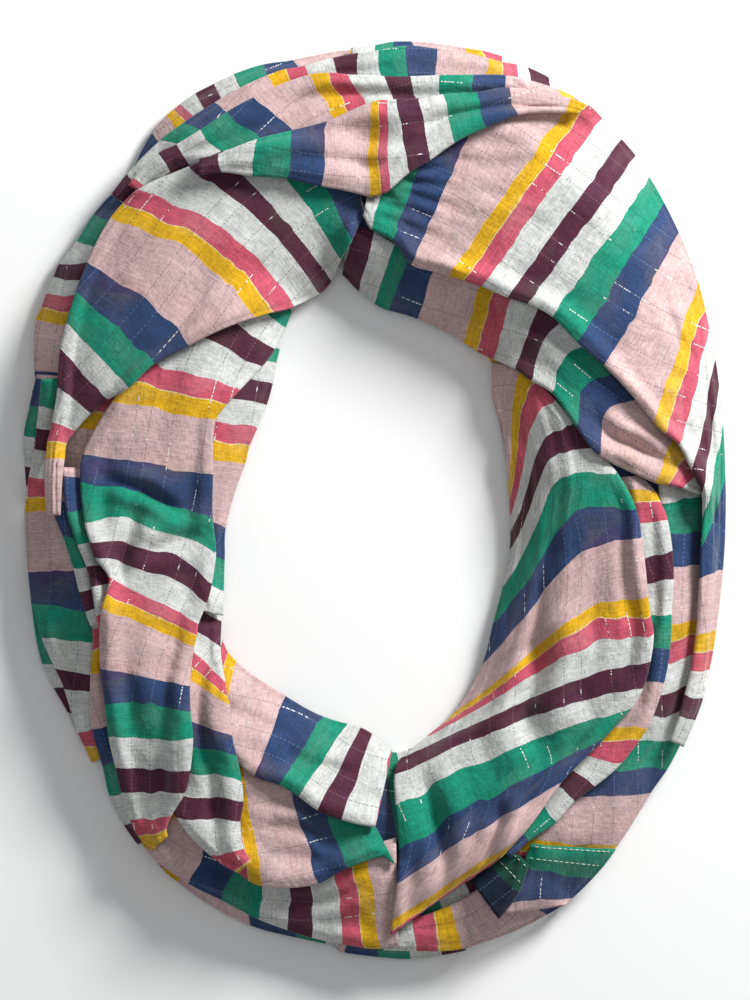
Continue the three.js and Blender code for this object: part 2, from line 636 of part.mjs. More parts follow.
function facingOut(vertices, faces, name) {
  let volume = 0;
  for (let f = 0; f < faces.length; f += 3) {
    const [a, b, c] = [faces[f], faces[f + 1], faces[f + 2]].map((index) => vertices[index]);
    volume += a.dot(b.clone().cross(c)) / 6;
  }
  if (volume < 0) {
    for (let f = 0; f < faces.length; f += 3) {
      [faces[f + 1], faces[f + 2]] = [faces[f + 2], faces[f + 1]];
    }
  }
  const geometry = new THREE.BufferGeometry();
  geometry.name = name;
  geometry.setFromPoints(vertices);
  geometry.setIndex(faces);
  geometry.computeVertexNormals();
  return geometry;
}

// The hidden layers as one rounded ring, flat underneath, with its folded edges as rounded steps
function layCore() {
  const rows = [...outline, [360, ...outline[0].slice(1)]];
  const angles = rows.map((row) => row[0]);
  const edge = [];
  for (let level = 0; level < coreLayers; level += 1) {
    edge.push({ inset: level * coreLayerLean + coreLayerGroove, share: level * coreLayerShare });
    edge.push({ inset: level * coreLayerLean, share: (level + 0.5) * coreLayerShare });
  }
  coreTop.forEach(([inset, share]) => edge.push({ inset, share }));
  const profile = [
    ...edge.map((step) => ({ side: 1, ...step })),
    { side: 0, share: 1 },
    ...edge.toReversed().map((step) => ({ side: -1, ...step })),
  ];
  const vertices = [];
  for (let station = 0; station < coreStations; station += 1) {
    const angle = (360 * station) / coreStations;
    const hole = columnAt(rows, angles, 1, angle);
    const rim = columnAt(rows, angles, 2, angle);
    const height = columnAt(rows, angles, 3, angle);
    for (const { side, inset, share } of profile) {
      const offsets = { [-1]: hole + coreInset + inset, 0: (hole + rim) / 2, 1: rim - coreInset - inset };
      const { x, y } = ringPoint(angle, offsets[side]);
      vertices.push(new THREE.Vector3(x, y, share * height));
    }
  }
  const faces = [];
  for (let station = 0; station < coreStations; station += 1) {
    const next = (station + 1) % coreStations;
    for (let k = 0; k < profile.length; k += 1) {
      const after = (k + 1) % profile.length;
      const [a, b] = [station * profile.length + k, station * profile.length + after];
      const [c, d] = [next * profile.length + k, next * profile.length + after];
      faces.push(a, c, d, a, d, b);
      if (k < profile.length - 1) {
        eachCellUnder(vertices[a], vertices[c], vertices[d], raiseField);
        eachCellUnder(vertices[a], vertices[d], vertices[b], raiseField);
      }
    }
  }
  return facingOut(vertices, faces, "hidden_layers");
}

function raiseField(index, height) {
  field[index] = Math.max(field[index], height);
}

function meanColour(sections) {
  const sum = new THREE.Color(0, 0, 0);
  let total = 0;
  for (const [stripe] of sections) {
    const { width, colour } = stripes[stripe];
    const part = new THREE.Color(colour);
    sum.add(part.multiplyScalar(width));
    total += width;
  }
  return sum.multiplyScalar(1 / total);
}

function clothMesh(geometry, colour) {
  const material = new THREE.MeshStandardMaterial({ color: colour, roughness: 0.85, metalness: 0 });
  const mesh = new THREE.Mesh(geometry, material);
  mesh.name = geometry.name;
  return mesh;
}

const scarf = new THREE.Group();
scarf.name = "infinity_scarf";
scarf.add(clothMesh(layCore(), meanColour(Object.keys(stripes).map((stripe) => [stripe]))));
for (const stretch of stretches) {
  scarf.add(clothMesh(layStretch(stretch), meanColour(stretch.sections)));
}

// The frame's origin is under the middle of the scarf
const box = new THREE.Box3().setFromObject(scarf);
const middle = box.getCenter(new THREE.Vector3());
for (const mesh of scarf.children) {
  mesh.geometry.translate(-middle.x, -middle.y, -box.min.z);
}

export default scarf;
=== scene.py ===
import math

import bpy
import numpy as np
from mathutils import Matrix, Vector
from mathutils.bvhtree import BVHTree


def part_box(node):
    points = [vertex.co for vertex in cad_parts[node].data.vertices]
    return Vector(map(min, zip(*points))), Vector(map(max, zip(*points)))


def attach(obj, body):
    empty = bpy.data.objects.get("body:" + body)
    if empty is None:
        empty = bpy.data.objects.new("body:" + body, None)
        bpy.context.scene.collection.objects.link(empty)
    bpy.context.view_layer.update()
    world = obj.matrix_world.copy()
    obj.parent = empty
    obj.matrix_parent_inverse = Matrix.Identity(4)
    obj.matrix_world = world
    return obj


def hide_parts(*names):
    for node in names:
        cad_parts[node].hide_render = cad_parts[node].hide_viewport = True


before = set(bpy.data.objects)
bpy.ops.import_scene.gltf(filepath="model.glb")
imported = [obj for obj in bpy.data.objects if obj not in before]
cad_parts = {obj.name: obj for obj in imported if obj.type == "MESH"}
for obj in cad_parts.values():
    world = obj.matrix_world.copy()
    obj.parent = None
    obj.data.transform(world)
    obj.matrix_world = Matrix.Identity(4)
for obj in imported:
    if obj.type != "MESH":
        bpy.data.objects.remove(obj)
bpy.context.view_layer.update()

mm = 0.001

# camera straight overhead, as in the photograph
shot = {"pixelMm": 0.44, "pixelsHigh": 1000, "lens": 180.0, "sensorHeight": 36.0, "aimX": 0.0, "aimY": 0.0,
        "aimZ": 0.012}
shotHeight = shot["pixelMm"] * shot["pixelsHigh"] * mm
cameraData = bpy.data.cameras.new("overhead")
cameraData.sensor_fit = "VERTICAL"
cameraData.sensor_height = shot["sensorHeight"]
cameraData.lens = shot["lens"]
camera = bpy.data.objects.new("overhead", cameraData)
cameraRise = shotHeight * shot["lens"] / shot["sensorHeight"]
camera.location = (shot["aimX"], shot["aimY"], shot["aimZ"] + cameraRise)
bpy.context.scene.collection.objects.link(camera)
bpy.context.scene.camera = camera

# the ring: an ellipse for its mid-line; a place is an angle clockwise from the far end and an offset, both
# read from the photograph, the offset negative towards the hole
ring = {"halfWidth": 109.0, "halfLength": 153.0}

# the woven stripes of one repeat, clockwise round the ring: width in mm, colour, colour of the thread on it
stripes = {
    "pink": (27.0, "#C4A7A6", "#5C4A4A"),
    "yellow": (7.0, "#D3A414", "#6E571A"),
    "rose": (7.5, "#BE5164", "#6E303C"),
    "white": (13.0, "#C6C8C4", "#4E5052"),
    "burgundy": (10.5, "#4E2033", "#84606F"),
    "pale": (12.0, "#C6C8C4", "#4E5052"),
    "green": (13.0, "#088468", "#0C5244"),
    "navy": (13.0, "#263D64", "#66779A"),
}
repeat = sum(width for width, colour, thread in stripes.values())
stripeStart = {}
for stripeName in stripes:
    stripeStart[stripeName] = sum(stripes[n][0] for n in list(stripes)[:len(stripeStart)])


def linear(hexColour):
    parts = [int(hexColour[k:k + 2], 16) / 255 for k in (1, 3, 5)]
    parts = [p / 12.92 if p <= 0.04045 else ((p + 0.055) / 1.055) ** 2.4 for p in parts]
    return (*parts, 1.0)


def addNode(tree, kind, values=None, **settings):
    # values are socket values by name or number, links are (node, output) pairs
    node = tree.nodes.new(kind)
    for name, setting in settings.items():
        setattr(node, name, setting)
    for socket, value in (values or {}).items():
        if isinstance(value, tuple) and isinstance(value[0], bpy.types.Node):
            tree.links.new(value[0].outputs[value[1]], node.inputs[socket])
        else:
            node.inputs[socket].default_value = value
    return node


def addMath(tree, operation, first, second=0.0, third=0.0):
    values = {0: first, 1: second}
    if operation == "MULTIPLY_ADD":
        values[2] = third
    return (addNode(tree, "ShaderNodeMath", values, operation=operation), 0)


def stripeRamp(tree, position, colourOf, extras=()):
    # one constant step for each stripe of the repeat
    ramp = addNode(tree, "ShaderNodeValToRGB", {0: position})
    ramp.color_ramp.interpolation = "CONSTANT"
    stops = [(stripeStart[name], colourOf(name)) for name in stripes] + list(extras)
    stops.sort(key=lambda stop: stop[0])
    elements = ramp.color_ramp.elements
    while len(elements) < len(stops):
        elements.new(1.0)
    for element, (start, colour) in zip(elements, stops):
        element.position = start / repeat
        element.color = colour
    return (ramp, 0)


# light plain-woven voile in crosswise stripes, with metallic threads along its length
voileLook = {
    "creamLine": "#D9C890", "creamWidth": 0.4, "edgeWander": 0.5,
    "threadGap": 10.5, "threadWidth": 0.42, "dotLength": 1.7, "threadStrength": 0.62, "threadJitter": 0.5,
    "yarnPitch": 0.8, "yarnLength": 3.2, "grain": 0.28, "slub": 0.24, "fade": 0.28,
    "ghost": 0.1, "ghostLean": 0.3, "ghostShift": 37.0,
    "glint": "#E6E6E2", "glintLength": 5.0, "glintLimit": 1.45,
    "weaveRelief": 0.12, "glintRelief": 0.15, "crinkleRelief": 0.9, "bump": 0.55,
    "roughness": 0.85, "sheen": 0.18, "sheenRoughness": 0.5, "specular": 0.25, "through": 0.1,
}


def makeVoile(name, shade):
    look = voileLook
    material = bpy.data.materials.new(name)
    material.use_nodes = True
    tree = material.node_tree
    tree.nodes.clear()
    cloth = addNode(tree, "ShaderNodeUVMap", uv_map="clothMm")
    split = addNode(tree, "ShaderNodeSeparateXYZ", {0: (cloth, 0)})
    across, along = (split, 0), (split, 1)

    # stripe edges wander by part of a yarn
    edgeNoise = addNode(tree, "ShaderNodeTexNoise", {"Vector": (cloth, 0), "Scale": 1.3, "Detail": 1.0})
    edgeShift = addMath(tree, "MULTIPLY_ADD", (edgeNoise, 0), look["edgeWander"], -look["edgeWander"] / 2)
    alongShifted = addMath(tree, "ADD", along, edgeShift)
    repeats = addMath(tree, "FRACT", addMath(tree, "DIVIDE", alongShifted, repeat))
    cream = linear(look["creamLine"])
    creamStops = [(stripeStart["rose"] - look["creamWidth"], cream)]
    stripe = stripeRamp(tree, repeats, lambda name: linear(stripes[name][1]), creamStops)
    threadTone = stripeRamp(tree, repeats, lambda name: linear(stripes[name][2]))

    # yarns: fine grain along and across, slubs, and slow fading
    def yarnNoise(stretchAcross, stretchAlong, detail):
        scaled = addNode(tree, "ShaderNodeVectorMath",
                         {0: (cloth, 0), 1: (1 / stretchAcross, 1 / stretchAlong, 1.0)}, operation="MULTIPLY")
        noise = addNode(tree, "ShaderNodeTexNoise", {"Vector": (scaled, 0), "Scale": 1.0, "Detail": detail})
        return (noise, 0)

    weftGrain = yarnNoise(look["yarnLength"], look["yarnPitch"], 1.0)
    warpGrain = yarnNoise(look["yarnPitch"], look["yarnLength"], 1.0)
    slubs = yarnNoise(14.0, 1.0, 1.0)
    patches = yarnNoise(16.0, 16.0, 2.0)
    grain = addMath(tree, "ADD", weftGrain, warpGrain)
    tone = addMath(tree, "MULTIPLY_ADD", grain, 2 * look["grain"], 1.0 - 2 * look["grain"])
    # a lower layer's stripes show faintly through in places
    under = addMath(tree, "MULTIPLY_ADD", along, 0.95, look["ghostShift"])
    under = addMath(tree, "MULTIPLY_ADD", across, look["ghostLean"], under)
    ghost = stripeRamp(tree, addMath(tree, "FRACT", addMath(tree, "DIVIDE", under, repeat)),
                       lambda name: linear(stripes[name][1]))
    thin = addMath(tree, "MULTIPLY_ADD", yarnNoise(24.0, 18.0, 1.0), 3.0, -1.25)
    thinHere = addNode(tree, "ShaderNodeClamp", {0: thin})
    seen = addMath(tree, "MULTIPLY", (thinHere, 0), look["ghost"])
    stripe = (addNode(tree, "ShaderNodeMix", {"Factor": seen, "A": stripe, "B": ghost}, data_type="RGBA"), 2)
    tone = addMath(tree, "MULTIPLY_ADD", addMath(tree, "SUBTRACT", slubs, 0.5), 2 * look["slub"], tone)
    tone = addMath(tree, "MULTIPLY_ADD", addMath(tree, "SUBTRACT", patches, 0.5), 2 * look["fade"], tone)
    # a shade below 1 darkens the whole copy of the material: painted shade
    tone = addMath(tree, "MULTIPLY", tone, shade)
    shaded = addNode(tree, "ShaderNodeVectorMath", {0: stripe, 3: tone}, operation="SCALE")

    # metallic threads every so often across, dotted along, each with its own shift
    lane = addMath(tree, "DIVIDE", across, look["threadGap"])
    number = addMath(tree, "ROUND", lane)
    laneNoise = addNode(tree, "ShaderNodeTexWhiteNoise", {"W": number}, noise_dimensions="1D")
    jitter = addMath(tree, "MULTIPLY_ADD", (laneNoise, 0), look["threadJitter"], -look["threadJitter"] / 2)
    offLane = addMath(tree, "SUBTRACT", lane, number)
    offLine = addMath(tree, "ABSOLUTE", addMath(tree, "SUBTRACT", offLane, jitter))
    offMm = addMath(tree, "MULTIPLY", offLine, look["threadGap"])
    onThread = addMath(tree, "LESS_THAN", offMm, look["threadWidth"] / 2)
    dots = addMath(tree, "FRACT", addMath(tree, "DIVIDE", along, look["dotLength"]))
    breaks = yarnNoise(30.0, 4.0, 1.0)
    unbroken = addMath(tree, "ADD", dots, addMath(tree, "MULTIPLY", breaks, 0.8))
    dotted = addMath(tree, "LESS_THAN", unbroken, 0.95)
    threadMask = addMath(tree, "MULTIPLY", onThread, dotted)
    threadMask = addMath(tree, "MULTIPLY", threadMask, look["threadStrength"])
    withThread = addNode(tree, "ShaderNodeMix", {"Factor": threadMask, "A": (shaded, 0), "B": threadTone},
                         data_type="RGBA")
    # painted glints: a pale colour painted into the base colour where a thread would catch the light, several
    # threads together in patches
    glintAlong = addMath(tree, "DIVIDE", along, look["glintLength"])
    glintPlace = addNode(tree, "ShaderNodeCombineXYZ", {0: addMath(tree, "MULTIPLY", number, 3.7), 1: glintAlong})
    glintNoise = addNode(tree, "ShaderNodeTexNoise", {"Vector": (glintPlace, 0), "Scale": 1.0, "Detail": 1.0})
    glintPatch = yarnNoise(34.0, 26.0, 0.0)
    glintLevel = addMath(tree, "MULTIPLY_ADD", glintPatch, 1.5, (glintNoise, 0))
    glintHere = addMath(tree, "GREATER_THAN", glintLevel, look["glintLimit"])
    beads = addMath(tree, "LESS_THAN", yarnNoise(2.0, 0.6, 0.0), 0.52)
    narrow = addMath(tree, "LESS_THAN", offMm, look["threadWidth"] * 0.5)
    glintMask = addMath(tree, "MULTIPLY", addMath(tree, "MULTIPLY", glintHere, beads), narrow)
    glintMix = {"Factor": glintMask, "A": (withThread, 2), "B": linear(look["glint"])}
    coloured = addNode(tree, "ShaderNodeMix", glintMix, data_type="RGBA")

    # the weave's relief
    relief = addMath(tree, "MULTIPLY", grain, look["weaveRelief"])
    relief = addMath(tree, "MULTIPLY_ADD", glintMask, look["glintRelief"], relief)
    crinkle = addMath(tree, "MULTIPLY", yarnNoise(3.0, 5.0, 2.0), look["crinkleRelief"])
    relief = addMath(tree, "ADD", relief, crinkle)
    bump = addNode(tree, "ShaderNodeBump", {"Strength": look["bump"], "Distance": mm, "Height": relief})

    surface = addNode(tree, "ShaderNodeBsdfPrincipled", {
        "Base Color": (coloured, 2), "Roughness": look["roughness"], "Sheen Weight": look["sheen"],
        "Sheen Roughness": look["sheenRoughness"], "Specular IOR Level": look["specular"],
        "Normal": (bump, 0)})
    through = addNode(tree, "ShaderNodeBsdfTranslucent", {"Color": (coloured, 2), "Normal": (bump, 0)})
    mixed = addNode(tree, "ShaderNodeMixShader", {0: look["through"], 1: (surface, 0), 2: (through, 0)})
    addNode(tree, "ShaderNodeOutputMaterial", {0: (mixed, 0)})
    return material


voile = makeVoile("striped cotton voile with metallic threads", shade=1.0)
# a darkened copy of the voile for the doubled seam tab: painted shade where the tab lies under the front turn's
# edge
seamTabVoileInPaintedShade = makeVoile("striped cotton voile, doubled over at the seam end", shade=0.28)


def ringPlan(angle, offset):
    # ring places to plan points, in mm
    turn = np.radians(angle)
    outward = np.stack([ring["halfLength"] * np.sin(turn), ring["halfWidth"] * np.cos(turn)], axis=-1)
    outward /= np.linalg.norm(outward, axis=-1, keepdims=True)
    middle = np.stack([ring["halfWidth"] * np.sin(turn), ring["halfLength"] * np.cos(turn)], axis=-1)
    return middle + outward * np.asarray(offset, float)[..., None]


def throughRows(rows, places, at):
    # a smooth curve through each column of the rows
    rows = np.asarray(rows, float)
    places = np.asarray(places, float)
    before = np.maximum(np.arange(len(rows)) - 1, 0)
    after = np.minimum(np.arange(len(rows)) + 1, len(rows) - 1)
    slopes = (rows[after] - rows[before]) / (places[after] - places[before])[:, None]
    k = np.clip(np.searchsorted(places, at, side="right") - 1, 0, len(rows) - 2)
    span = (places[k + 1] - places[k])[:, None]
    t = (at - places[k])[:, None] / span
    return (rows[k] * (1 + 2 * t) * (1 - t) ** 2 + slopes[k] * span * t * (1 - t) ** 2
            + rows[k + 1] * t * t * (3 - 2 * t) + slopes[k + 1] * span * t * t * (t - 1))


def softened(field, spread, axis):
    # Gaussian blur along one axis, the ends held
    reach = max(int(math.ceil(2.5 * spread)), 1)
    weights = np.exp(-0.5 * (np.arange(-reach, reach + 1) / spread) ** 2)
    weights /= weights.sum()
    field = np.moveaxis(field, axis, 0)
    padded = np.concatenate([np.repeat(field[:1], reach, 0), field, np.repeat(field[-1:], reach, 0)])
    total = sum(w * padded[i:i + len(field)] for i, w in enumerate(weights))
    return np.moveaxis(total, 0, axis)


def smoothNoise(x, y, sizeX, sizeY, seed):
    # lattice noise from -1 to 1 with features of about those sizes
    lattice = np.random.default_rng(seed).uniform(-1, 1, (64, 64))
    gx, gy = x / sizeX, y / sizeY
    ix, iy = np.floor(gx).astype(int), np.floor(gy).astype(int)
    fx, fy = gx - ix, gy - iy
    fx, fy = fx * fx * (3 - 2 * fx), fy * fy * (3 - 2 * fy)

    def corner(a, b):
        return lattice[(ix + a) % 64, (iy + b) % 64]

    return ((corner(0, 0) * (1 - fx) + corner(1, 0) * fx) * (1 - fy)
            + (corner(0, 1) * (1 - fx) + corner(1, 1) * fx) * fy)


# the ring's outline: angle, hole edge, rim edge, height of the hidden layers
outlineRows = [
    (0, -65.5, 47, 22), (10, -66.5, 51.5, 22), (20, -66.5, 56, 23),
    (30, -64.5, 57.5, 25), (40, -59.5, 58, 26),
    (50, -52, 56, 26), (60, -49, 53.5, 25), (70, -49.5, 50, 24), (80, -50, 48, 23), (90, -48.5, 46.5, 22),
    (100, -47, 47, 22), (110, -47, 49, 22), (120, -46, 51, 22), (130, -42, 49.5, 21), (140, -41, 51, 21),
    (150, -41.5, 55, 21), (160, -44.5, 52.5, 21), (170, -46, 51, 20), (180, -51, 47, 20), (190, -53, 44, 20),
    (200, -52.5, 46, 21), (210, -50, 47, 21), (220, -46, 47, 21), (230, -41, 43, 20), (240, -32, 44, 19),
    (250, -38, 47, 20), (260, -43, 45, 21), (270, -47, 44, 22), (280, -53, 46, 23), (290, -57, 51, 24),
    (300, -55.5, 51.5, 24), (310, -51, 48, 24), (320, -49, 46, 23), (330, -52, 52, 22), (340, -49, 51, 22),
    (350, -62.5, 46, 21), (360, -65.5, 47, 22),
]

# hidden layers of the heap: rounded folds at both edges, flat underneath
hiddenLayers = {"node": "hidden_layers", "layers": 3, "inset": 5.0, "lean": 4.5, "layerShare": 0.19,
                "groove": 1.3, "top": [(13.5, 0.62), (20.0, 0.8), (29.0, 0.95)],
                "under": (0.2, 0.4, 0.6, 0.8), "stations": 300, "repeats": 8, "metresRound": 0.83}
coreAngles = np.linspace(0, 360, hiddenLayers["stations"], endpoint=False)
coreColumns = throughRows([row[1:] for row in outlineRows], [row[0] for row in outlineRows], coreAngles)

# the frame's origin is under the middle of the scarf: where that lies in the ring's own plan
coreEdge = ringPlan(coreAngles, coreColumns[:, 1] - hiddenLayers["inset"])
coreLow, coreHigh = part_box(hiddenLayers["node"])
planToFrame = (np.array(coreLow[:2]) + np.array(coreHigh[:2])) / 2 / mm
planToFrame -= (coreEdge.min(0) + coreEdge.max(0)) / 2
print("plan to frame, mm:", np.round(planToFrame, 2))


def clothMesh(name, grid, across, along, closedRing=False, closedProfile=False):
    # a quad grid of points in mm; its UV map holds the cloth's own millimetres across and along
    rows, columns = grid.shape[:2]
    points = grid.reshape(-1, 3).copy()
    points[:, :2] += planToFrame
    rowCount = rows if closedRing else rows - 1
    columnCount = columns if closedProfile else columns - 1
    i, j = np.meshgrid(np.arange(rowCount), np.arange(columnCount), indexing="ij")
    i2, j2 = (i + 1) % rows, (j + 1) % columns
    faces = np.stack([i * columns + j, i * columns + j2, i2 * columns + j2, i2 * columns + j], -1)
    faces = faces.reshape(-1, 4)
    cloth = np.stack([across, along], -1)
    right = np.concatenate([cloth, cloth[:, :1]], 1) if closedProfile else cloth
    corners = np.stack([right[i, j], right[i, j + 1], right[i2, j + 1], right[i2, j]], -2)
    if closedRing:
        lastRow = i == rows - 1
        step = along[-1].mean() - along[-2].mean()
        for corner in (2, 3):
            corners[..., corner, 1] = np.where(lastRow, along.max() + step, corners[..., corner, 1])
    mesh = bpy.data.meshes.new(name)
    mesh.from_pydata((points * mm).tolist(), [], faces.tolist())
    uv = mesh.uv_layers.new(name="clothMm")
    uv.data.foreach_set("uv", corners.reshape(-1).astype(np.float32))
    mesh.polygons.foreach_set("use_smooth", [True] * len(mesh.polygons))
    piece = bpy.data.objects.new(name, mesh)
    bpy.context.scene.collection.objects.link(piece)
    return piece


def thicken(piece, thickness):
    solidify = piece.modifiers.new("clothThickness", "SOLIDIFY")
    solidify.thickness = thickness * mm
    solidify.offset = -1.0
    solidify.use_even_offset = False


# heights laid so far, on a 1 mm grid over the ring
class Heap:
    halfWidth, halfLength = 180, 230

    def __init__(self):
        self.heights = np.zeros((2 * self.halfWidth, 2 * self.halfLength))

    def cells(self, x, y):
        return np.floor(x).astype(int) + self.halfWidth, np.floor(y).astype(int) + self.halfLength

    def lay(self, grid):
        # finer than the cells, so that none is missed
        fine = grid
        for axis in (0, 1):
            count = fine.shape[axis]
            at = np.linspace(0, count - 1, 4 * (count - 1) + 1)
            k = np.minimum(at.astype(int), count - 2)
            part = (at - k).reshape((-1, 1, 1) if axis == 0 else (1, -1, 1))
            fine = np.take(fine, k, axis) * (1 - part) + np.take(fine, k + 1, axis) * part
        i, j = self.cells(fine[..., 0], fine[..., 1])
        np.maximum.at(self.heights, (i.ravel(), j.ravel()), fine[..., 2].ravel())

    def below(self, x, y, reach=2):
        wide = np.zeros_like(self.heights)
        for dx in range(-reach, reach + 1):
            for dy in range(-reach, reach + 1):
                wide = np.maximum(wide, np.roll(np.roll(self.heights, dx, 0), dy, 1))
        i, j = self.cells(x, y)
        return wide[i, j]


heap = Heap()

# how every stretch is made: sizes in mm, but creaseScale multiplies each crease's depth, edgeInset is a share
# of the width, and hang is the share of an overhang that hangs down
lay = {
    "meshStep": 1.6, "foldRadius": 1.2, "foldReturn": 4.0, "thickness": 0.3, "clear": 0.45,
    "smoothAlong": 5.0, "smoothAcross": 2.4, "edgeInset": 0.03, "runOn": 40.0,
    "creaseScale": 1.7, "wrinkle": 4.0, "wrinkleAcross": 15.0, "wrinkleAlong": 75.0,
    "fineWrinkle": 0.8, "fineAcross": 5.5, "fineAlong": 28.0, "ripple": 0.3, "rippleSize": 7.0,
    "sway": 1.0, "swayAcross": 10.0, "swayAlong": 45.0,
    "swayFine": 0.5, "swayFineAcross": 4.0, "swayFineAlong": 16.0,
    "firstStripeInset": 0.4, "overhang": 6.0, "hang": 0.85,
}


def sectionPlaces(sections):
    middles = [(ringPlan(row[1], row[2]) + ringPlan(row[3], row[4])) / 2 for row in sections]
    places = [0.0]
    for one, two in zip(middles, middles[1:]):
        places.append(places[-1] + max(float(np.linalg.norm(two - one)), 1.0))
    return np.array(places)


def clothAlong(sections, places):
    # the cloth's own millimetres at each section, from the stripe that begins there
    along = [stripeStart[sections[0][0]]]
    for k in range(1, len(sections)):
        step = (stripeStart[sections[k][0]] - stripeStart[sections[k - 1][0]]) % repeat
        along.append(along[-1] + (step if step > 0 else places[k] - places[k - 1]))
    return np.array(along)


def solidTop(node):
    # reads the height of a CAD solid's upper side, mm, at a plan point in mm
    source = bpy.data.objects[node]
    tree = BVHTree.FromObject(source, bpy.context.evaluated_depsgraph_get())
    toWorld = source.matrix_world
    toLocal = toWorld.inverted()
    down = (toLocal.to_3x3() @ Vector((0, 0, -1))).normalized()

    def height(x, y):
        start = toLocal @ Vector(((x + planToFrame[0]) * mm, (y + planToFrame[1]) * mm, 0.2))
        hit = tree.ray_cast(start, down)[0]
        return None if hit is None else (toWorld @ hit).z / mm

    return height


def crease(path, depth, width, slip=0.0, shoulder=0.6):
    # one crease along a path of (share along, share across); depth, width and slip in mm, shoulder a share
    return {"path": path, "depth": depth, "width": width, "slip": slip, "shoulder": shoulder}


# a crease's raised banks, in crease widths from its middle, and how far its slip reaches, in mm
creaseForm = {"bankAt": 2.1, "bankWidth": 1.2, "slipReach": 25.0}


def creaseShape(creases, length, at, across, widths):
    # soft troughs with raised banks, or ridges where the depth is negative, and how far they drag the stripes
    depth = np.zeros_like(across)
    slip = np.zeros_like(across)
    here = np.stack([np.repeat(at[:, None], across.shape[1], 1), across * widths[:, None]], -1)
    for fold in creases:
        corners = np.array([(share * length, part * np.interp(share * length, at, widths))
                            for share, part in fold["path"]])
        steps = np.linalg.norm(np.diff(corners, axis=0), axis=1)
        nearest = np.full(across.shape, 1e9)
        side = np.zeros_like(across)
        run = np.zeros_like(across)
        for k, step in enumerate(steps):
            heading = (corners[k + 1] - corners[k]) / step
            offset = here - corners[k]
            onward = np.clip(offset @ heading, 0, step)
            away = np.linalg.norm(offset - onward[..., None] * heading, axis=-1)
            closer = away < nearest
            nearest = np.where(closer, away, nearest)
            side = np.where(closer, np.sign(offset[..., 1] * heading[0] - offset[..., 0] * heading[1]), side)
            run = np.where(closer, (steps[:k].sum() + onward) / steps.sum(), run)
        away = side * nearest / fold["width"]
        fade = np.sin(np.pi * np.clip(run, 0.02, 0.98)) ** 0.6
        bankAt, bankWidth = creaseForm["bankAt"], creaseForm["bankWidth"]
        banks = np.exp(-((away - bankAt) / bankWidth) ** 2) + np.exp(-((away + bankAt) / bankWidth) ** 2)
        depth += fold["depth"] * fade * (np.exp(-away ** 2) - fold["shoulder"] * banks)
        slip += fold["slip"] * fade * np.tanh(away) * np.exp(-(nearest / creaseForm["slipReach"]) ** 2)
    return depth, slip


def solidHeights(node, holeSide, rimSide, outward, widths, at, share):
    # the CAD solid's top, read inside its edges and smoothed; gaps take their neighbours' height
    topAt = solidTop(node)
    z = np.zeros((len(at), len(share)))
    for i in range(len(at)):
        start = holeSide[i] + outward[i] * widths[i] * lay["edgeInset"]
        end = rimSide[i] - outward[i] * widths[i] * lay["edgeInset"]
        for j in range(len(share)):
            x, y = start + (end - start) * share[j]
            found = topAt(x, y)
            z[i, j] = np.nan if found is None else found
    for i in range(len(at)):
        good = ~np.isnan(z[i])
        z[i] = np.interp(share, share[good], z[i][good]) if good.any() else np.nan
    rowGood = ~np.isnan(z[:, 0])
    for j in range(len(share)):
        z[:, j] = np.interp(at, at[rowGood], z[rowGood, j])
    step = at[-1] / (len(at) - 1)
    z = softened(z, lay["smoothAlong"] / step, 0)
    return softened(z, lay["smoothAcross"] / max(widths.mean() / len(share), 0.5), 1)


def wrinkles(x, y, threadAt, alongAt, seed):
    # long soft pleats along the threads, with finer ones and a slight ripple
    across, along = lay["wrinkleAcross"], lay["wrinkleAlong"]
    broad = smoothNoise(threadAt, alongAt, across, along, seed)
    ridge = 0.5 - np.sqrt(smoothNoise(threadAt, alongAt, 1.6 * across, along, seed + 30) ** 2 + 0.01)
    fine = smoothNoise(threadAt, alongAt, lay["fineAcross"], lay["fineAlong"], seed + 60)
    ripple = smoothNoise(x, y, lay["rippleSize"], lay["rippleSize"], seed + 120)
    pleats = lay["wrinkle"] * (0.6 * broad + 0.8 * ridge + 0.4)
    return pleats + lay["fineWrinkle"] * fine + lay["ripple"] * ripple


def settled(z, x, y, toEdge, radius):
    # what overhangs the layers below hangs down towards them
    below = heap.below(x, y)
    overhang = np.maximum(z - below - lay["overhang"], 0)
    z = z - lay["hang"] * softened(softened(overhang, 3.0, 0), 1.5, 1)

    # clear of everything below, most at the folded edges, which are two layers
    nearEdge = toEdge < lay["foldReturn"] + 2.0
    needed = below + lay["clear"] + lay["thickness"] + np.where(nearEdge, 2 * radius[:, None], 0.0)
    needed = np.maximum(needed, 2 * radius[:, None] + 0.4)
    short = np.maximum(needed - z, 0)
    return z + np.maximum(short, softened(softened(short, 3.0, 0), 2.0, 1))


# a rolled-under edge has points at these turns of its fold, then at these shares of the part that goes back
foldTurns = np.radians([30, 65, 100, 140, 180])
foldReturns = np.array([0.35, 0.7, 1.0])


def rolledEdge(side, z, widths, radius):
    # columns (distance from the hole's side, height, length round the fold) that roll an edge under and back
    edge = 0 if side > 0 else -1
    base = radius if side > 0 else widths - radius
    rows = np.arange(len(z))
    last = z.shape[1] - 1
    rolled = []
    for turn in foldTurns:
        distance = base - side * radius * np.sin(turn)
        rolled.append((distance, z[:, edge] - radius * (1 - math.cos(turn)), radius * turn))
    for back in lay["foldReturn"] * foldReturns:
        distance = base + side * np.minimum(back, 0.3 * widths)
        column = np.clip((distance - radius) / (widths - 2 * radius) * last, 0, last)
        k = np.minimum(column.astype(int), last - 1)
        part = column - k
        topHere = z[rows, k] * (1 - part) + z[rows, k + 1] * part
        rolled.append((distance, topHere - 2 * radius, radius * np.pi + back))
    return rolled


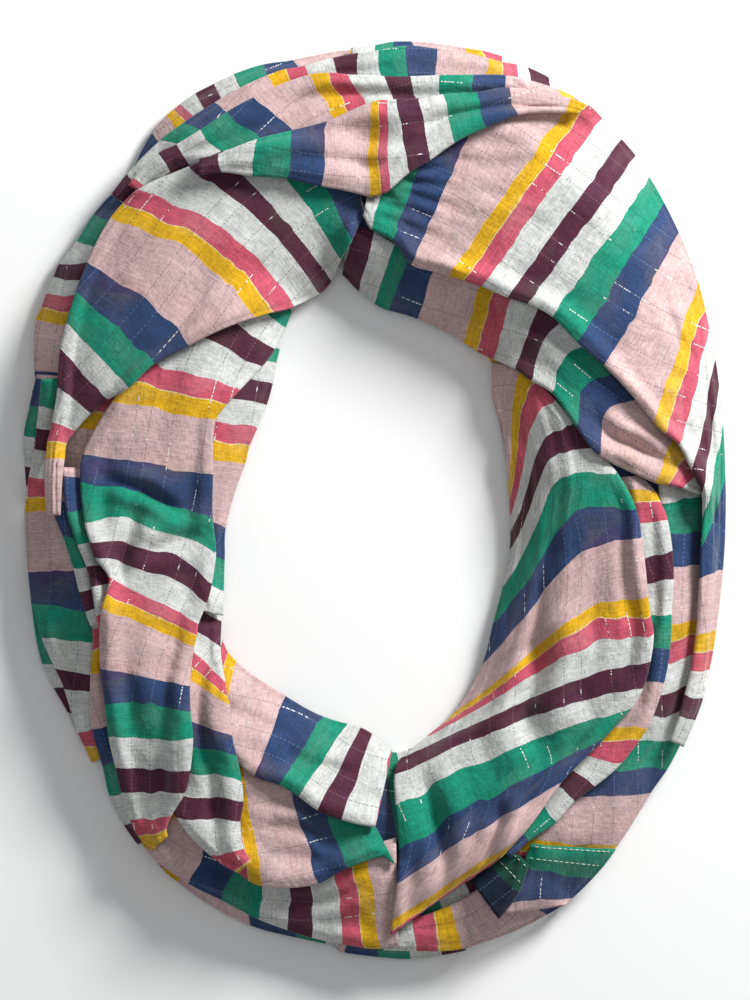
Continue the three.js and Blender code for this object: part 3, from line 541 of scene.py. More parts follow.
def clothRun(spec, places, at, shareWide):
    # the cloth's own millimetres along, with the woven lines bent as each section says
    sections = spec["sections"]
    bends = np.array([row[5] if len(row) > 5 else 0.0 for row in sections])
    ends = places + np.where(places == 0, -lay["runOn"], 0.0)
    ends = ends + np.where(places == places[-1], lay["runOn"], 0.0)
    clothEnds = clothAlong(sections, places) + (ends - places)
    run = np.zeros((len(at), len(shareWide)))
    for k, part in enumerate(shareWide):
        bent = ends + bends * math.sin(math.pi * part ** spec.get("bendSkew", 1.0))
        run[:, k] = np.interp(at, np.maximum.accumulate(bent), clothEnds)
    return run


def layStretch(spec, seed):
    sections = spec["sections"]
    places = sectionPlaces(sections)
    length = places[-1]
    at = np.linspace(0, length, max(int(length / lay["meshStep"]) + 1, 8))
    columns = throughRows([row[1:5] for row in sections], places, at)
    holeSide = ringPlan(columns[:, 0], columns[:, 1])
    rimSide = ringPlan(columns[:, 2], columns[:, 3])
    widths = np.linalg.norm(rimSide - holeSide, axis=1)
    outward = (rimSide - holeSide) / widths[:, None]
    radius = np.minimum(lay["foldRadius"], 0.12 * widths)
    count = max(int(widths.max() / lay["meshStep"]) + 1, 8)
    share = np.linspace(0, 1, count)
    z = solidHeights(spec["node"], holeSide, rimSide, outward, widths, at, share)
    inner = radius[:, None] + share[None, :] * (widths - 2 * radius)[:, None]
    x = holeSide[:, None, 0] + outward[:, None, 0] * inner
    y = holeSide[:, None, 1] + outward[:, None, 1] * inner
    toEdge = np.minimum(inner, widths[:, None] - inner)

    # listed creases, then wrinkles that die out at the folded edges
    depth, slip = creaseShape(spec["creases"], length, at, np.repeat(share[None, :], len(at), 0), widths)
    if "thread" in spec:
        anchor = widths * np.interp(at / length, *zip(*spec["thread"]))
    else:
        anchor = anchorLine(holeSide, outward, widths)
    alongAt = np.repeat(at[:, None], count, 1)
    calm = np.clip(toEdge / 4.0, 0, 1)
    z = z - lay["creaseScale"] * depth + calm * wrinkles(x, y, inner - anchor[:, None], alongAt, seed)
    z = settled(z, x, y, toEdge, radius)

    # the grid, with its two edges rolled under, and where each point lies across and along the cloth
    gridColumns, acrossColumns = [], []
    for distance, height, arc in reversed(rolledEdge(1, z, widths, radius)):
        gridColumns.append((distance, height))
        acrossColumns.append(radius - arc - anchor)
    for j in range(count):
        gridColumns.append((inner[:, j], z[:, j]))
        acrossColumns.append(inner[:, j] - anchor)
    for distance, height, arc in rolledEdge(-1, z, widths, radius):
        gridColumns.append((distance, height))
        acrossColumns.append(widths - radius + arc - anchor)
    grid = np.zeros((len(at), len(gridColumns), 3))
    for k, (distance, height) in enumerate(gridColumns):
        grid[:, k, :2] = holeSide + outward * distance[:, None]
        grid[:, k, 2] = height
    across = np.stack(acrossColumns, 1)
    edges = len(foldTurns) + len(foldReturns)
    slipWide = np.concatenate([np.repeat(slip[:, :1], edges, 1), slip, np.repeat(slip[:, -1:], edges, 1)], 1)
    atWide = np.repeat(at[:, None], across.shape[1], 1)
    slow = smoothNoise(across, atWide, lay["swayAcross"], lay["swayAlong"], seed + 90)
    fine = smoothNoise(across, atWide, lay["swayFineAcross"], lay["swayFineAlong"], seed + 150)
    wander = lay["sway"] * slow + lay["swayFine"] * fine
    shareWide = np.concatenate([np.zeros(edges), share, np.ones(edges)])
    alongGrid = clothRun(spec, places, at, shareWide) + slipWide + wander
    if "firstStripe" in spec:
        first = [row[0] for row in sections].index(spec["firstStripe"])
        alongGrid = np.maximum(alongGrid, clothAlong(sections, places)[first] + lay["firstStripeInset"])
    top = grid[:, edges:-edges]
    heap.lay(top)

    piece = clothMesh(spec["node"].replace("_", " ").title().replace(" ", ""), grid, across, alongGrid)
    piece.data.materials.append(spec.get("material", voile))
    thicken(piece, lay["thickness"])
    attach(piece, "root")
    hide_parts(spec["node"])
    return piece, top


def anchorLine(holeSide, outward, widths):
    # a warp thread crosses every weft line squarely: where one crosses, measured from the hole's side
    anchor = np.zeros(len(widths))
    anchor[0] = widths[0] / 2
    point = holeSide[0] + outward[0] * anchor[0]
    for i in range(1, len(widths)):
        anchor[i] = float(np.dot(point - holeSide[i], outward[i]))
        point = holeSide[i] + outward[i] * anchor[i]
    return anchor


# the stretches that show: a section names the stripe that begins there, gives the angle and offset of its
# hole side and of its rim side, and, where it has a sixth number, how far the woven line bends, in mm;
# bendSkew above 1 moves the bend's peak towards the rim, thread holds (share along, share of the width from
# the hole's side) for one warp thread, and no stripe before firstStripe shows
leftRimUpperTurn = {
    "node": "left_rim_upper_turn",
    "sections": [
        ("navy", 285.5, 31, 285.5, 43), ("pink", 288.5, 31, 288, 46), ("yellow", 295.5, 33, 294.5, 51.5),
        ("rose", 297.5, 34, 296.5, 51), ("white", 300, 35, 298.5, 51), ("burgundy", 302, 36, 301, 51),
        ("pale", 305, 36, 303, 51), ("green", 307, 36, 307, 48.5), ("navy", 311.5, 37, 311.5, 48),
        ("pink", 318, 36, 318, 45),
    ],
    "creases": [],
}

leftRimLowerTurn = {
    "node": "left_rim_lower_turn",
    "sections": [
        ("white", 235, 36, 236.5, 43.5), ("burgundy", 238, 35, 240, 43), ("pale", 243.5, 36, 244, 45),
        ("green", 247, 37, 247.5, 46.5), ("navy", 255.5, 37, 256, 45), ("pink", 260, 36, 260, 44.5),
    ],
    "creases": [],
}

leftRimMiddleTurn = {
    "node": "left_rim_middle_turn",
    "sections": [
        ("burgundy", 272, 37, 272, 43.5), ("pale", 275, 37, 275, 44.5), ("green", 279, 36, 279, 46),
        ("navy", 283, 36, 283, 45), ("pink", 288, 34, 287.5, 44),
    ],
    "creases": [],
}

leftRimRollTurn = {
    "node": "left_rim_roll_turn",
    "sections": [
        ("yellow", 231.5, 35, 232, 43), ("rose", 233, 34, 234.5, 42.5), ("white", 236, 31, 236.5, 42),
        ("burgundy", 241, 27, 243.5, 40), ("pale", 243.5, 24, 246.5, 41), ("green", 248.5, 19, 251, 43),
        ("navy", 253, 16, 256, 44), ("pink", 259.5, 17, 260.5, 44), ("yellow", 268.5, 23, 268.5, 44),
        ("rose", 270.5, 26, 270.5, 43), ("white", 273, 28, 273, 42), ("burgundy", 277, 28, 277, 40),
        ("pale", 280, 29, 280, 40), ("green", 283, 29, 283, 40), ("navy", 288, 30, 287, 41),
    ],
    "creases": [],
}

leftLowStripTurn = {
    "node": "left_low_strip_turn",
    "sections": [
        ("burgundy", 217.5, 40, 218.5, 47.5), ("pale", 221, 37, 222, 46.5),
        ("green", 225.5, 33, 226.5, 44), ("navy", 230.5, 27, 231, 39), ("pink", 235.5, 22, 236.5, 35),
        ("yellow", 244, 15, 243.5, 27), ("rose", 248, 11, 247.5, 22), ("white", 251.5, 8, 251.5, 19),
    ],
    "creases": [],
}

leftOuterFoldTurn = {
    "node": "left_outer_fold_turn",
    "sections": [
        ("white", 251, 13, 251, 20), ("burgundy", 253.5, 14, 253.5, 21), ("pale", 256.5, 14, 256.5, 22),
        ("green", 260, 15, 260, 23), ("navy", 264.5, 18, 264.5, 26), ("pink", 270, 21, 269.5, 31),
        ("yellow", 275, 22, 275, 33),
    ],
    "creases": [],
}

leftInnerFoldTurn = {
    "node": "left_inner_fold_turn",
    "sections": [
        ("rose", 249.5, 10, 249.5, 17), ("white", 252.5, 8, 252.5, 16.5), ("burgundy", 257, 5, 257, 16),
        ("pale", 260, 7, 260, 17), ("green", 263.5, 10, 263.5, 20), ("navy", 269, 12, 268.5, 24),
        ("pink", 275, 13, 275, 27),
    ],
    "creases": [],
}

nearRimLeftTurn = {
    "node": "near_rim_left_turn",
    "sections": [
        ("pale", 184, 35, 184.5, 46), ("green", 187, 34, 187, 44), ("navy", 192.5, 34, 191.5, 44),
        ("pink", 200, 34, 198.5, 46), ("yellow", 210, 36, 210.5, 47), ("rose", 213, 36, 213.5, 47),
        ("white", 217, 34, 217, 44),
    ],
    "creases": [],
}

nearRimMiddleTurn = {
    "node": "near_rim_middle_turn",
    "sections": [
        ("burgundy", 165.5, 42, 166.5, 52), ("pale", 169.5, 40, 170, 51), ("green", 174, 37, 174.5, 50),
        ("navy", 179, 36, 179, 48), ("pink", 185, 36, 185, 46),
    ],
    "creases": [],
}

nearRimRightTurn = {
    "node": "near_rim_right_turn",
    "sections": [
        ("pink", 156.5, 26, 151.5, 54.5), ("yellow", 167, 30, 167, 50), ("rose", 170, 31, 170.5, 48),
        ("white", 173.5, 31, 173.5, 46), ("burgundy", 178.5, 29, 178.5, 44),
    ],
    "creases": [],
}

rightRimMiddleTurn = {
    "node": "right_rim_middle_turn",
    "sections": [
        ("pale", 84.5, 17, 85, 38), ("green", 90, 17, 89.5, 39), ("navy", 94.5, 18, 94.5, 40),
        ("pink", 99.5, 20, 99, 42), ("yellow", 108, 24, 106.5, 44), ("rose", 111, 24, 108.5, 45),
        ("white", 114.5, 25, 111.5, 46), ("burgundy", 119, 28, 115.5, 48), ("pale", 122.5, 29, 119, 50),
        ("green", 127, 27, 123, 50.5), ("navy", 133.5, 22, 127.5, 50.5), ("pink", 140, 19, 132, 49.5),
        ("yellow", 150.5, 18, 140.5, 51.5), ("rose", 154.5, 20, 143.5, 52),
    ],
    "creases": [
        crease([(0.2, 0.6), (0.45, 0.5), (0.7, 0.6)], 1.8, 4.0, slip=1.0),
    ],
}

joinSeamTurn = {
    "node": "join_seam_turn",
    "sections": [
        ("green", 149.5, 23, 141, 51.5), ("navy", 153.5, 29, 146, 53.5),
        ("pink", 160.5, 41, 151.5, 54.5),
    ],
    "firstStripe": "green",
    "creases": [],
}

joinSeamTab = {
    "node": "join_seam_tab",
    "sections": [
        ("green", 153, 17, 152, 29), ("navy", 157.5, 18, 156, 37), ("pink", 162, 21, 160.5, 43),
    ],
    "material": seamTabVoileInPaintedShade,
    "firstStripe": "green",
    "creases": [],
}

rightLowStripTurn = {
    "node": "right_low_strip_turn",
    "sections": [
        ("pink", 86, 0, 86, 9), ("yellow", 88, 2, 88.5, 15), ("rose", 90.5, 4, 90, 17),
        ("white", 94, 5, 92.5, 20), ("burgundy", 100, 6, 97, 23), ("pale", 104, 9, 101, 25),
        ("green", 108, 14, 106.5, 27), ("navy", 112.5, 17, 111.5, 30), ("pink", 117.5, 18, 116.5, 32),
        ("yellow", 127, 13, 123.5, 33), ("rose", 130, 13, 126, 32), ("white", 132.5, 13, 130.5, 30),
        ("burgundy", 135.5, 11, 135.5, 26), ("pale", 139, 8, 139.5, 23), ("green", 143.5, 8, 144, 23),
        ("navy", 149.5, 9, 149.5, 21), ("pink", 154.5, 12, 154, 22),
    ],
    "creases": [],
}

nearRimBandTurn = {
    "node": "near_rim_band_turn",
    "sections": [
        ("pink", 174, -5, 176, 42), ("yellow", 181, -2, 178.5, 43), ("rose", 184.5, 1, 181, 43),
        ("white", 188, 7, 184, 42), ("burgundy", 192.5, 12, 189, 41.5), ("pale", 196, 15, 193, 41),
        ("green", 201, 17, 197.5, 41), ("navy", 206.5, 17, 203.5, 41), ("pink", 213, 16, 209, 43.5),
        ("yellow", 218, 22, 217, 45.5), ("rose", 221, 24, 220.5, 42),
    ],
    "creases": [
        crease([(0.1, 0.35), (0.35, 0.5), (0.6, 0.4)], 2.0, 3.5),
        crease([(0.5, 0.65), (0.7, 0.55), (0.92, 0.6)], 1.8, 3.5),
    ],
}

nearLeftFrontTurn = {
    "node": "near_left_front_turn",
    "sections": [
        ("pale", 179.5, -12, 175, 6), ("green", 186, -19, 178, 2), ("navy", 194.5, -19, 185.5, 8),
        ("pink", 206, -21, 190.5, 17), ("yellow", 216, -11, 199, 26), ("rose", 217.5, -6, 201.5, 27),
        ("white", 219, -2, 204.5, 26),
    ],
    "firstStripe": "green",
    "creases": [
        crease([(0.15, 0.4), (0.45, 0.55), (0.8, 0.5)], 2.5, 4.0, slip=1.0),
        crease([(0.35, 0.2), (0.6, 0.25), (0.85, 0.3)], 1.6, 3.5),
    ],
}

nearHoleRollTurn = {
    "node": "near_hole_roll_turn",
    "sections": [
        ("white", 170, -42, 179, -11), ("burgundy", 179.5, -50, 188, -13),
        ("pale", 187.5, -52.5, 195, -14), ("green", 196, -52.5, 201, -16),
        ("navy", 207.5, -50, 206.5, -16), ("pink", 222, -44.5, 212.5, -12),
        ("yellow", 236, -34, 222, -9), ("rose", 239, -32, 225, -8), ("white", 241.5, -32, 228, -9),
    ],
    "creases": [
        crease([(0.1, 0.5), (0.35, 0.62), (0.6, 0.5)], 2.0, 3.5),
        crease([(0.45, 0.3), (0.7, 0.4), (0.92, 0.6)], 1.8, 3.5),
    ],
}

leftSecondStripTurn = {
    "node": "left_second_strip_turn",
    "sections": [
        ("rose", 203, 19, 204, 26), ("white", 205.5, 16, 209, 27), ("burgundy", 209, 7.5, 218, 25),
        ("pale", 211, 0, 221.5, 20), ("green", 214, -6, 225, 13), ("navy", 218.5, -12, 229, 6),
        ("pink", 222.5, -16, 233, 0), ("yellow", 228.5, -23, 239, -9), ("rose", 230.5, -24, 241, -13),
        ("white", 233, -26, 243.5, -16), ("burgundy", 240, -30, 247, -20), ("pale", 245, -34, 250, -25),
        ("green", 249, -37, 253, -29),
    ],
    "creases": [
        crease([(0.1, 0.5), (0.4, 0.45), (0.7, 0.6)], 1.8, 3.5, slip=1.0),
    ],
}

leftHoleRollTurn = {
    "node": "left_hole_roll_turn",
    "sections": [
        ("pale", 246.5, -36, 248.5, -28), ("green", 251.5, -39, 254.5, -30),
        ("navy", 258, -42, 260, -32), ("pink", 264.5, -44, 267.5, -33), ("yellow", 278, -52, 278.5, -34),
        ("rose", 282, -53, 282.5, -33), ("white", 286.5, -55, 286, -33),
        ("burgundy", 292.5, -56.5, 291.5, -38), ("pale", 298, -56, 296.5, -43),
        ("green", 303, -54, 302, -44), ("navy", 307, -52.5, 306.5, -42),
    ],
    "creases": [
        crease([(0.15, 0.5), (0.4, 0.6), (0.62, 0.5)], 1.6, 3.0),
    ],
}

leftFrontTurn = {
    "node": "left_front_turn",
    "sections": [
        ("yellow", 216.5, 34, 216.5, 43), ("rose", 217.5, 32, 219.5, 43.5),
        ("white", 218.5, 27, 222, 42), ("burgundy", 220, 15, 226, 38), ("pale", 222.5, 7, 229.5, 34),
        ("green", 227, -2, 234, 30), ("navy", 231.5, -7, 239, 25, 2), ("pink", 236, -12, 244.5, 21),
        ("yellow", 242.5, -20, 253.5, 13), ("rose", 244.5, -23, 255.5, 10),
        ("white", 246.5, -25, 258, 8), ("burgundy", 250, -31, 261, 12, 5), ("pale", 253.5, -35, 263.5, 14, 8),
        ("green", 259.5, -39, 266.5, 16, 7), ("navy", 267, -39, 272.5, 18, 2), ("pink", 275.5, -39, 277, 18),
        ("yellow", 286, -37, 285.5, 9), ("rose", 290, -40, 289.5, 4), ("white", 294, -44, 293.5, -3),
        ("burgundy", 300.5, -49, 301.5, -14), ("pale", 306, -51, 307, -20),
        ("green", 312.5, -50, 313, -25), ("navy", 318, -48, 318.5, -28),
    ],
    "creases": [
        crease([(0.6, 0.45), (0.55, 0.61), (0.51, 0.68), (0.46, 0.78), (0.4, 0.97)], 3.6, 4.0, slip=2.2),
        crease([(0.6, 0.8), (0.595, 0.5), (0.57, 0.2)], 2.2, 3.0),
        crease([(0.55, 0.08), (0.52, 0.29), (0.5, 0.44), (0.49, 0.56)], 2.6, 3.5, slip=-1.5),
        crease([(0.3, 0.2), (0.24, 0.25), (0.17, 0.36), (0.06, 0.39)], 2.2, 5.0),
        crease([(0.38, 0.6), (0.28, 0.7), (0.12, 0.68)], 2.2, 4.5),
        crease([(0.68, 0.8), (0.75, 0.6), (0.85, 0.5)], 1.8, 5.0),
    ],
}

rightFrontTurn = {
    "node": "right_front_turn",
    "sections": [
        ("pink", 67, -49, 59, -44), ("yellow", 86, -48.5, 63, -34, -3), ("rose", 90, -48, 66.5, -29, -4),
        ("white", 93, -47.5, 70.5, -24, -5), ("burgundy", 96, -47, 75.5, -18, -7),
        ("pale", 100, -46.5, 80.5, -11, -11), ("green", 108, -46.5, 85, -2, -17),
        ("navy", 117, -46, 91, 6, -17), ("pink", 127, -43, 95.5, 9, -15),
        ("yellow", 142, -41, 104.5, 15, -12), ("rose", 147, -41, 107.5, 18, -12),
        ("white", 154, -41, 110, 21, -10), ("burgundy", 166.5, -38, 114, 23, -6),
        ("pale", 171, -32, 118, 24, -4),
        ("green", 172.5, -20, 121.5, 23, -3), ("navy", 173.5, -1, 128, 18), ("pink", 175, 14, 138, 13),
        ("yellow", 176.5, 30, 150.5, 17), ("rose", 177, 37, 156.5, 20),
    ],
    "bendSkew": 1.25,
    "thread": [(0.12, 1.1), (0.21, 0.78), (0.3, 0.51), (0.36, 0.51), (0.51, 0.54), (0.69, 0.7), (0.86, 1.0),
               (1.0, 1.2)],
    "creases": [
        crease([(0.27, 0.42), (0.36, 0.33), (0.46, 0.35), (0.59, 0.49), (0.74, 0.66)], 6.0, 6.0,
               shoulder=0.7),
        crease([(0.66, 0.09), (0.77, 0.17), (0.89, 0.31), (0.98, 0.42)], 4.5, 5.0, slip=1.6),
        crease([(0.38, 0.88), (0.5, 0.92), (0.66, 0.97)], 1.4, 3.0),
        crease([(0.14, 0.35), (0.2, 0.6), (0.26, 0.8)], -1.2, 5.0),
        crease([(0.4, 0.7), (0.55, 0.74), (0.7, 0.84)], 2.0, 5.0),
        crease([(0.8, 0.5), (0.88, 0.66), (0.98, 0.8)], 3.0, 4.0),
    ],
}

farRightHoleRollTurn = {
    "node": "far_right_hole_roll_turn",
    "sections": [
        ("burgundy", -18, -50, -7.5, -31), ("pale", -11.5, -59.5, 1, -35),
        ("green", 4, -65.5, 10.5, -39), ("navy", 20, -66.5, 18.5, -38), ("pink", 36, -61.5, 28, -37),
        ("yellow", 51, -51.5, 40, -28), ("rose", 55, -48, 43, -24), ("white", 58.5, -43, 46.5, -20),
        ("burgundy", 62.5, -36, 51.5, -12), ("pale", 66, -31, 57, -6, -4), ("green", 69.5, -24, 63, 1, -6),
        ("navy", 76.5, -17, 68.5, 5, -7), ("pink", 82, -9, 73.5, 13, -7), ("yellow", 87, 14, 80.5, 24),
        ("rose", 87.5, 20, 82.5, 30), ("white", 88, 26, 85, 36), ("burgundy", 89, 34, 87.5, 42),
    ],
    "creases": [
        crease([(0.7, 0.3), (0.8, 0.38), (0.93, 0.55)], 4.5, 3.2, slip=1.0),
        crease([(0.35, 0.6), (0.5, 0.68), (0.66, 0.72)], 1.5, 4.0),
    ],
}

farRimLeftTurn = {
    "node": "far_rim_left_turn",
    "sections": [
        ("navy", -40, 41, -40, 46), ("pink", -35, 43, -34.5, 50.5), ("yellow", -32, 43, -31.5, 52),
        ("rose", -30, 42, -30, 52), ("white", -28.5, 42, -29, 52), ("burgundy", -27, 41, -26.5, 52),
        ("pale", -24, 41, -23.5, 51), ("green", -20.5, 40, -20.5, 50.5), ("navy", -16, 40, -16, 49),
        ("pink", -11, 39, -11.5, 46.5), ("yellow", -3, 39, -3.5, 46.5), ("rose", 1, 39, 1, 47),
    ],
    "creases": [],
}

farRimRightTurn = {
    "node": "far_rim_right_turn",
    "sections": [
        ("pale", -3, 39, -3, 47), ("green", 0.5, 39, 0.5, 48), ("navy", 3.5, 40, 3, 50),
        ("pink", 8, 41, 5.5, 51), ("yellow", 15.5, 45, 13, 53.5), ("rose", 18, 46, 15.5, 55),
        ("white", 20.5, 46, 18, 56), ("burgundy", 24.5, 47, 22, 57), ("pale", 27, 49, 25, 58),
        ("green", 31, 51, 28, 58),
    ],
    "creases": [],
}

farBackTurn = {
    "node": "far_back_turn",
    "sections": [
        ("burgundy", -45, 40, -45, 46), ("pale", -41.5, 39, -41.5, 46), ("green", -32, 33, -34.5, 45),
        ("navy", -28.5, 32, -30.5, 44), ("pink", -23.5, 31, -25, 43), ("yellow", -16, 32, -16.5, 43),
        ("rose", -13, 32, -13.5, 43), ("white", -10, 31, -10.5, 42), ("burgundy", -5.5, 31, -6, 43),
        ("pale", -2.5, 29, -2, 44), ("green", 1.5, 28, 1, 45), ("navy", 6, 28, 5, 48),
        ("pink", 10.5, 31, 9.5, 49), ("yellow", 17.5, 39, 16.5, 52), ("rose", 20, 43, 18.5, 53),
        ("white", 22.5, 46, 20.5, 55),
    ],
    "creases": [],
}

farMiddleTurn = {
    "node": "far_middle_turn",
    "sections": [
        ("white", -42, 34, -42.5, 42), ("burgundy", -37, 32, -36, 41), ("pale", -34, 28, -33, 38),
        ("green", -29, 18, -28.5, 36), ("navy", -21, 12, -23.5, 36), ("pink", -14.5, 10, -18.5, 36),
        ("yellow", -7.5, 12, -9.5, 37), ("rose", -4.5, 13, -6.5, 36), ("white", -0.5, 14, -3.5, 34),
        ("burgundy", 4.5, 16, 2, 33), ("pale", 8.5, 18, 6, 34), ("green", 12, 22, 10.5, 37),
        ("navy", 17, 29, 15.5, 42), ("pink", 21.5, 37, 20, 48), ("yellow", 30, 51, 27, 55),
        ("rose", 32, 53, 29.5, 57), ("white", 34, 54, 32, 57),
    ],
    "creases": [
        crease([(0.1, 0.5), (0.4, 0.6), (0.75, 0.4)], 2.0, 3.5, slip=1.0),
    ],
}

farLeftFrontTurn = {
    "node": "far_left_front_turn",
    "sections": [
        ("pink", 268, 27, 268, 33), ("yellow", 276, 26, 276, 34), ("rose", 278.5, 26, 278.5, 34),
        ("white", 280.5, 23, 281, 33), ("burgundy", 283.5, 17, 286, 33), ("pale", 286, 11, 291.5, 36),
        ("green", 288.5, 3, 295.5, 37), ("navy", 293.5, -5, 300.5, 38), ("pink", 299, -17, 305, 39, 3),
        ("yellow", 310, -36, 312, 40, 8), ("rose", 313.5, -41, 315, 39, 9), ("white", 318.5, -47, 318, 37, 9),
        ("burgundy", 329, -51.5, 326, 27, 4), ("pale", 336, -50, 332, 22), ("green", 344, -44, 338.5, 15),
        ("navy", 351, -38, 345, 10), ("pink", 358, -26, 353, 9),
    ],
    "creases": [
        crease([(0.42, 0.93), (0.55, 0.9), (0.68, 0.93)], -1.2, 4.0),
        crease([(0.3, 0.5), (0.5, 0.62), (0.72, 0.75)], 1.2, 7.0, slip=0.6),
        crease([(0.45, 0.2), (0.62, 0.3), (0.85, 0.5)], 1.2, 8.0, slip=0.8),
    ],
}

farRightFrontTurn = {
    "node": "far_right_front_turn",
    "sections": [
        ("pale", -3, -28, 2, 14), ("green", 0, -34, 6, 17), ("navy", 9.5, -38, 12, 13),
        ("pink", 20.5, -45, 19, 26), ("yellow", 33.5, -39.5, 29.5, 48), ("rose", 38, -36, 31.5, 57),
        ("white", 42, -32, 34, 58), ("burgundy", 47.5, -26, 38, 58), ("pale", 51, -20, 41, 58),
        ("green", 55.5, -13, 44.5, 57), ("navy", 62, -7, 48.5, 56), ("pink", 67.5, 1, 53, 55),
        ("yellow", 77.5, 16, 60, 53.5), ("rose", 79.5, 20, 64, 52), ("white", 81.5, 26, 67, 51),
        ("burgundy", 85.5, 31, 71, 50), ("pale", 88.5, 35, 74.5, 49), ("green", 92, 36, 79.5, 48),
        ("navy", 96.5, 36, 87, 47), ("pink", 101, 37, 99, 47.5), ("yellow", 108.5, 40, 107.5, 49),
        ("rose", 111, 41, 110.5, 50), ("white", 113.5, 42, 113, 50.5), ("burgundy", 117, 43, 117, 51.5),
        ("pale", 120, 44, 120, 51.5), ("green", 124, 45, 124, 51.5),
    ],
    "creases": [
        crease([(0.42, 0.62), (0.52, 0.66), (0.64, 0.6)], 2.4, 4.0, slip=1.5),
        crease([(0.14, 0.3), (0.26, 0.42), (0.38, 0.5)], 1.2, 9.0),
        crease([(0.2, 0.75), (0.33, 0.8), (0.45, 0.8)], 1.2, 8.0),
    ],
}

farFrontTurn = {
    "node": "far_front_turn",
    "sections": [
        ("burgundy", -34, 21, -32, 26), ("pale", -30.5, 15, -29, 22), ("green", -26.5, 6, -22, 18),
        ("navy", -20.5, -3, -15, 15), ("pink", -13.5, -12, -8, 15), ("yellow", -1, -20, 0, 21),
        ("rose", 2.5, -19, 1.5, 22), ("white", 5, -17, 3, 22), ("burgundy", 9.5, -8, 4.5, 23),
        ("pale", 13.5, 0, 8.5, 25), ("green", 17, 11, 12, 29), ("navy", 21, 23, 17, 35),
        ("pink", 24.5, 35, 21, 43), ("yellow", 30, 48, 29.5, 54.5), ("rose", 31.5, 51, 32, 57),
    ],
    "creases": [
        crease([(0.08, 0.6), (0.35, 0.4), (0.65, 0.5)], 2.0, 3.5, slip=1.0),
        crease([(0.5, 0.3), (0.7, 0.35), (0.9, 0.5)], 1.6, 3.0),
    ],
}

# in the order they are laid
stretches = [
    leftRimUpperTurn,
    leftRimLowerTurn,
    leftRimMiddleTurn,
    leftRimRollTurn,
    leftLowStripTurn,
    leftOuterFoldTurn,
    leftInnerFoldTurn,
    nearRimLeftTurn,
    nearRimMiddleTurn,
    nearRimRightTurn,
    rightRimMiddleTurn,
    joinSeamTurn,
    joinSeamTab,
    rightLowStripTurn,
    nearRimBandTurn,
    nearLeftFrontTurn,
    nearHoleRollTurn,
    leftSecondStripTurn,
    leftHoleRollTurn,
    leftFrontTurn,
    rightFrontTurn,
    farRightHoleRollTurn,
    farRimLeftTurn,
    farRimRightTurn,
    farBackTurn,
    farMiddleTurn,
    farLeftFrontTurn,
    farRightFrontTurn,
    farFrontTurn,
]


def layHiddenLayers(spec):
    # a closed ring: the folds' rounded steps at the rim, over the top, down at the hole, and flat underneath
    steps = []
    for level in range(spec["layers"]):
        for part in np.linspace(0, 1, 7)[:-1]:
            bulge = math.sin(math.pi * part) ** 0.7
            inset = spec["lean"] * level + spec["groove"] * (1 - bulge)
            steps.append((inset, (level + part) * spec["layerShare"]))
    steps += spec["top"]
    hole, rim, height = coreColumns[:, 0], coreColumns[:, 1], coreColumns[:, 2]
    profile = [("rim", inset, share) for inset, share in steps]
    profile += [("crown", 0.5, 1.0)]
    profile += [("hole", inset, share) for inset, share in reversed(steps)]
    profile += [("under", part, 0.0) for part in spec["under"]]
    first, last = steps[0][0], steps[-1][0]
    columns = []
    for side, inset, share in profile:
        if side == "rim":
            offset = rim - spec["inset"] - inset
        elif side == "hole":
            offset = hole + spec["inset"] + inset
        elif side == "crown":
            offset = (rim - spec["inset"] - last) * (1 - inset) + (hole + spec["inset"] + last) * inset
        else:
            offset = (hole + spec["inset"] + first) * (1 - inset) + (rim - spec["inset"] - first) * inset
        plan = ringPlan(coreAngles, offset)
        columns.append(np.concatenate([plan, (share * height)[:, None]], 1))
    grid = np.stack(columns, 1)[::-1]
    lengths = np.linalg.norm(np.diff(grid, axis=1), axis=2)
    across = np.concatenate([np.zeros((len(grid), 1)), np.cumsum(lengths, 1)], 1)
    along = np.repeat(np.linspace(0, repeat * spec["repeats"], len(grid))[::-1, None], grid.shape[1], 1)
    heap.lay(grid[:, :-len(spec["under"])])
    piece = clothMesh("HiddenLayers", grid, across, along, closedRing=True, closedProfile=True)
    piece.data.materials.append(voile)
    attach(piece, "root")
    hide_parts(spec["node"])
    return piece


floorLook = {"halfSize": 1.5, "colour": "#F4F4F3"}
floorMesh = bpy.data.meshes.new("floor")
half = floorLook["halfSize"]
floorCorners = [(-half, -half, 0), (half, -half, 0), (half, half, 0), (-half, half, 0)]
floorMesh.from_pydata(floorCorners, [], [(0, 1, 2, 3)])
floor = bpy.data.objects.new("floor", floorMesh)
bpy.context.scene.collection.objects.link(floor)
paper = bpy.data.materials.new("pale paper backdrop")
paper.use_nodes = True
paper.node_tree.nodes["Principled BSDF"].inputs["Base Color"].default_value = linear(floorLook["colour"])
paper.node_tree.nodes["Principled BSDF"].inputs["Roughness"].default_value = 0.9
floorMesh.materials.append(paper)

# rows of topstitching beside the join: the stretch, the stripe and how far past its start, in mm
seamStitches = {
    "pitch": 2.7, "length": 2.5, "width": 0.5, "thickness": 0.7, "lift": 0.3, "jitter": 0.12, "seed": 7,
    "colour": "#B9C2B0",
    "rows": [("join_seam_turn", "green", 1.3), ("join_seam_turn", "green", 7.8),
             ("join_seam_tab", "green", 1.4), ("join_seam_tab", "green", 8.0)],
}


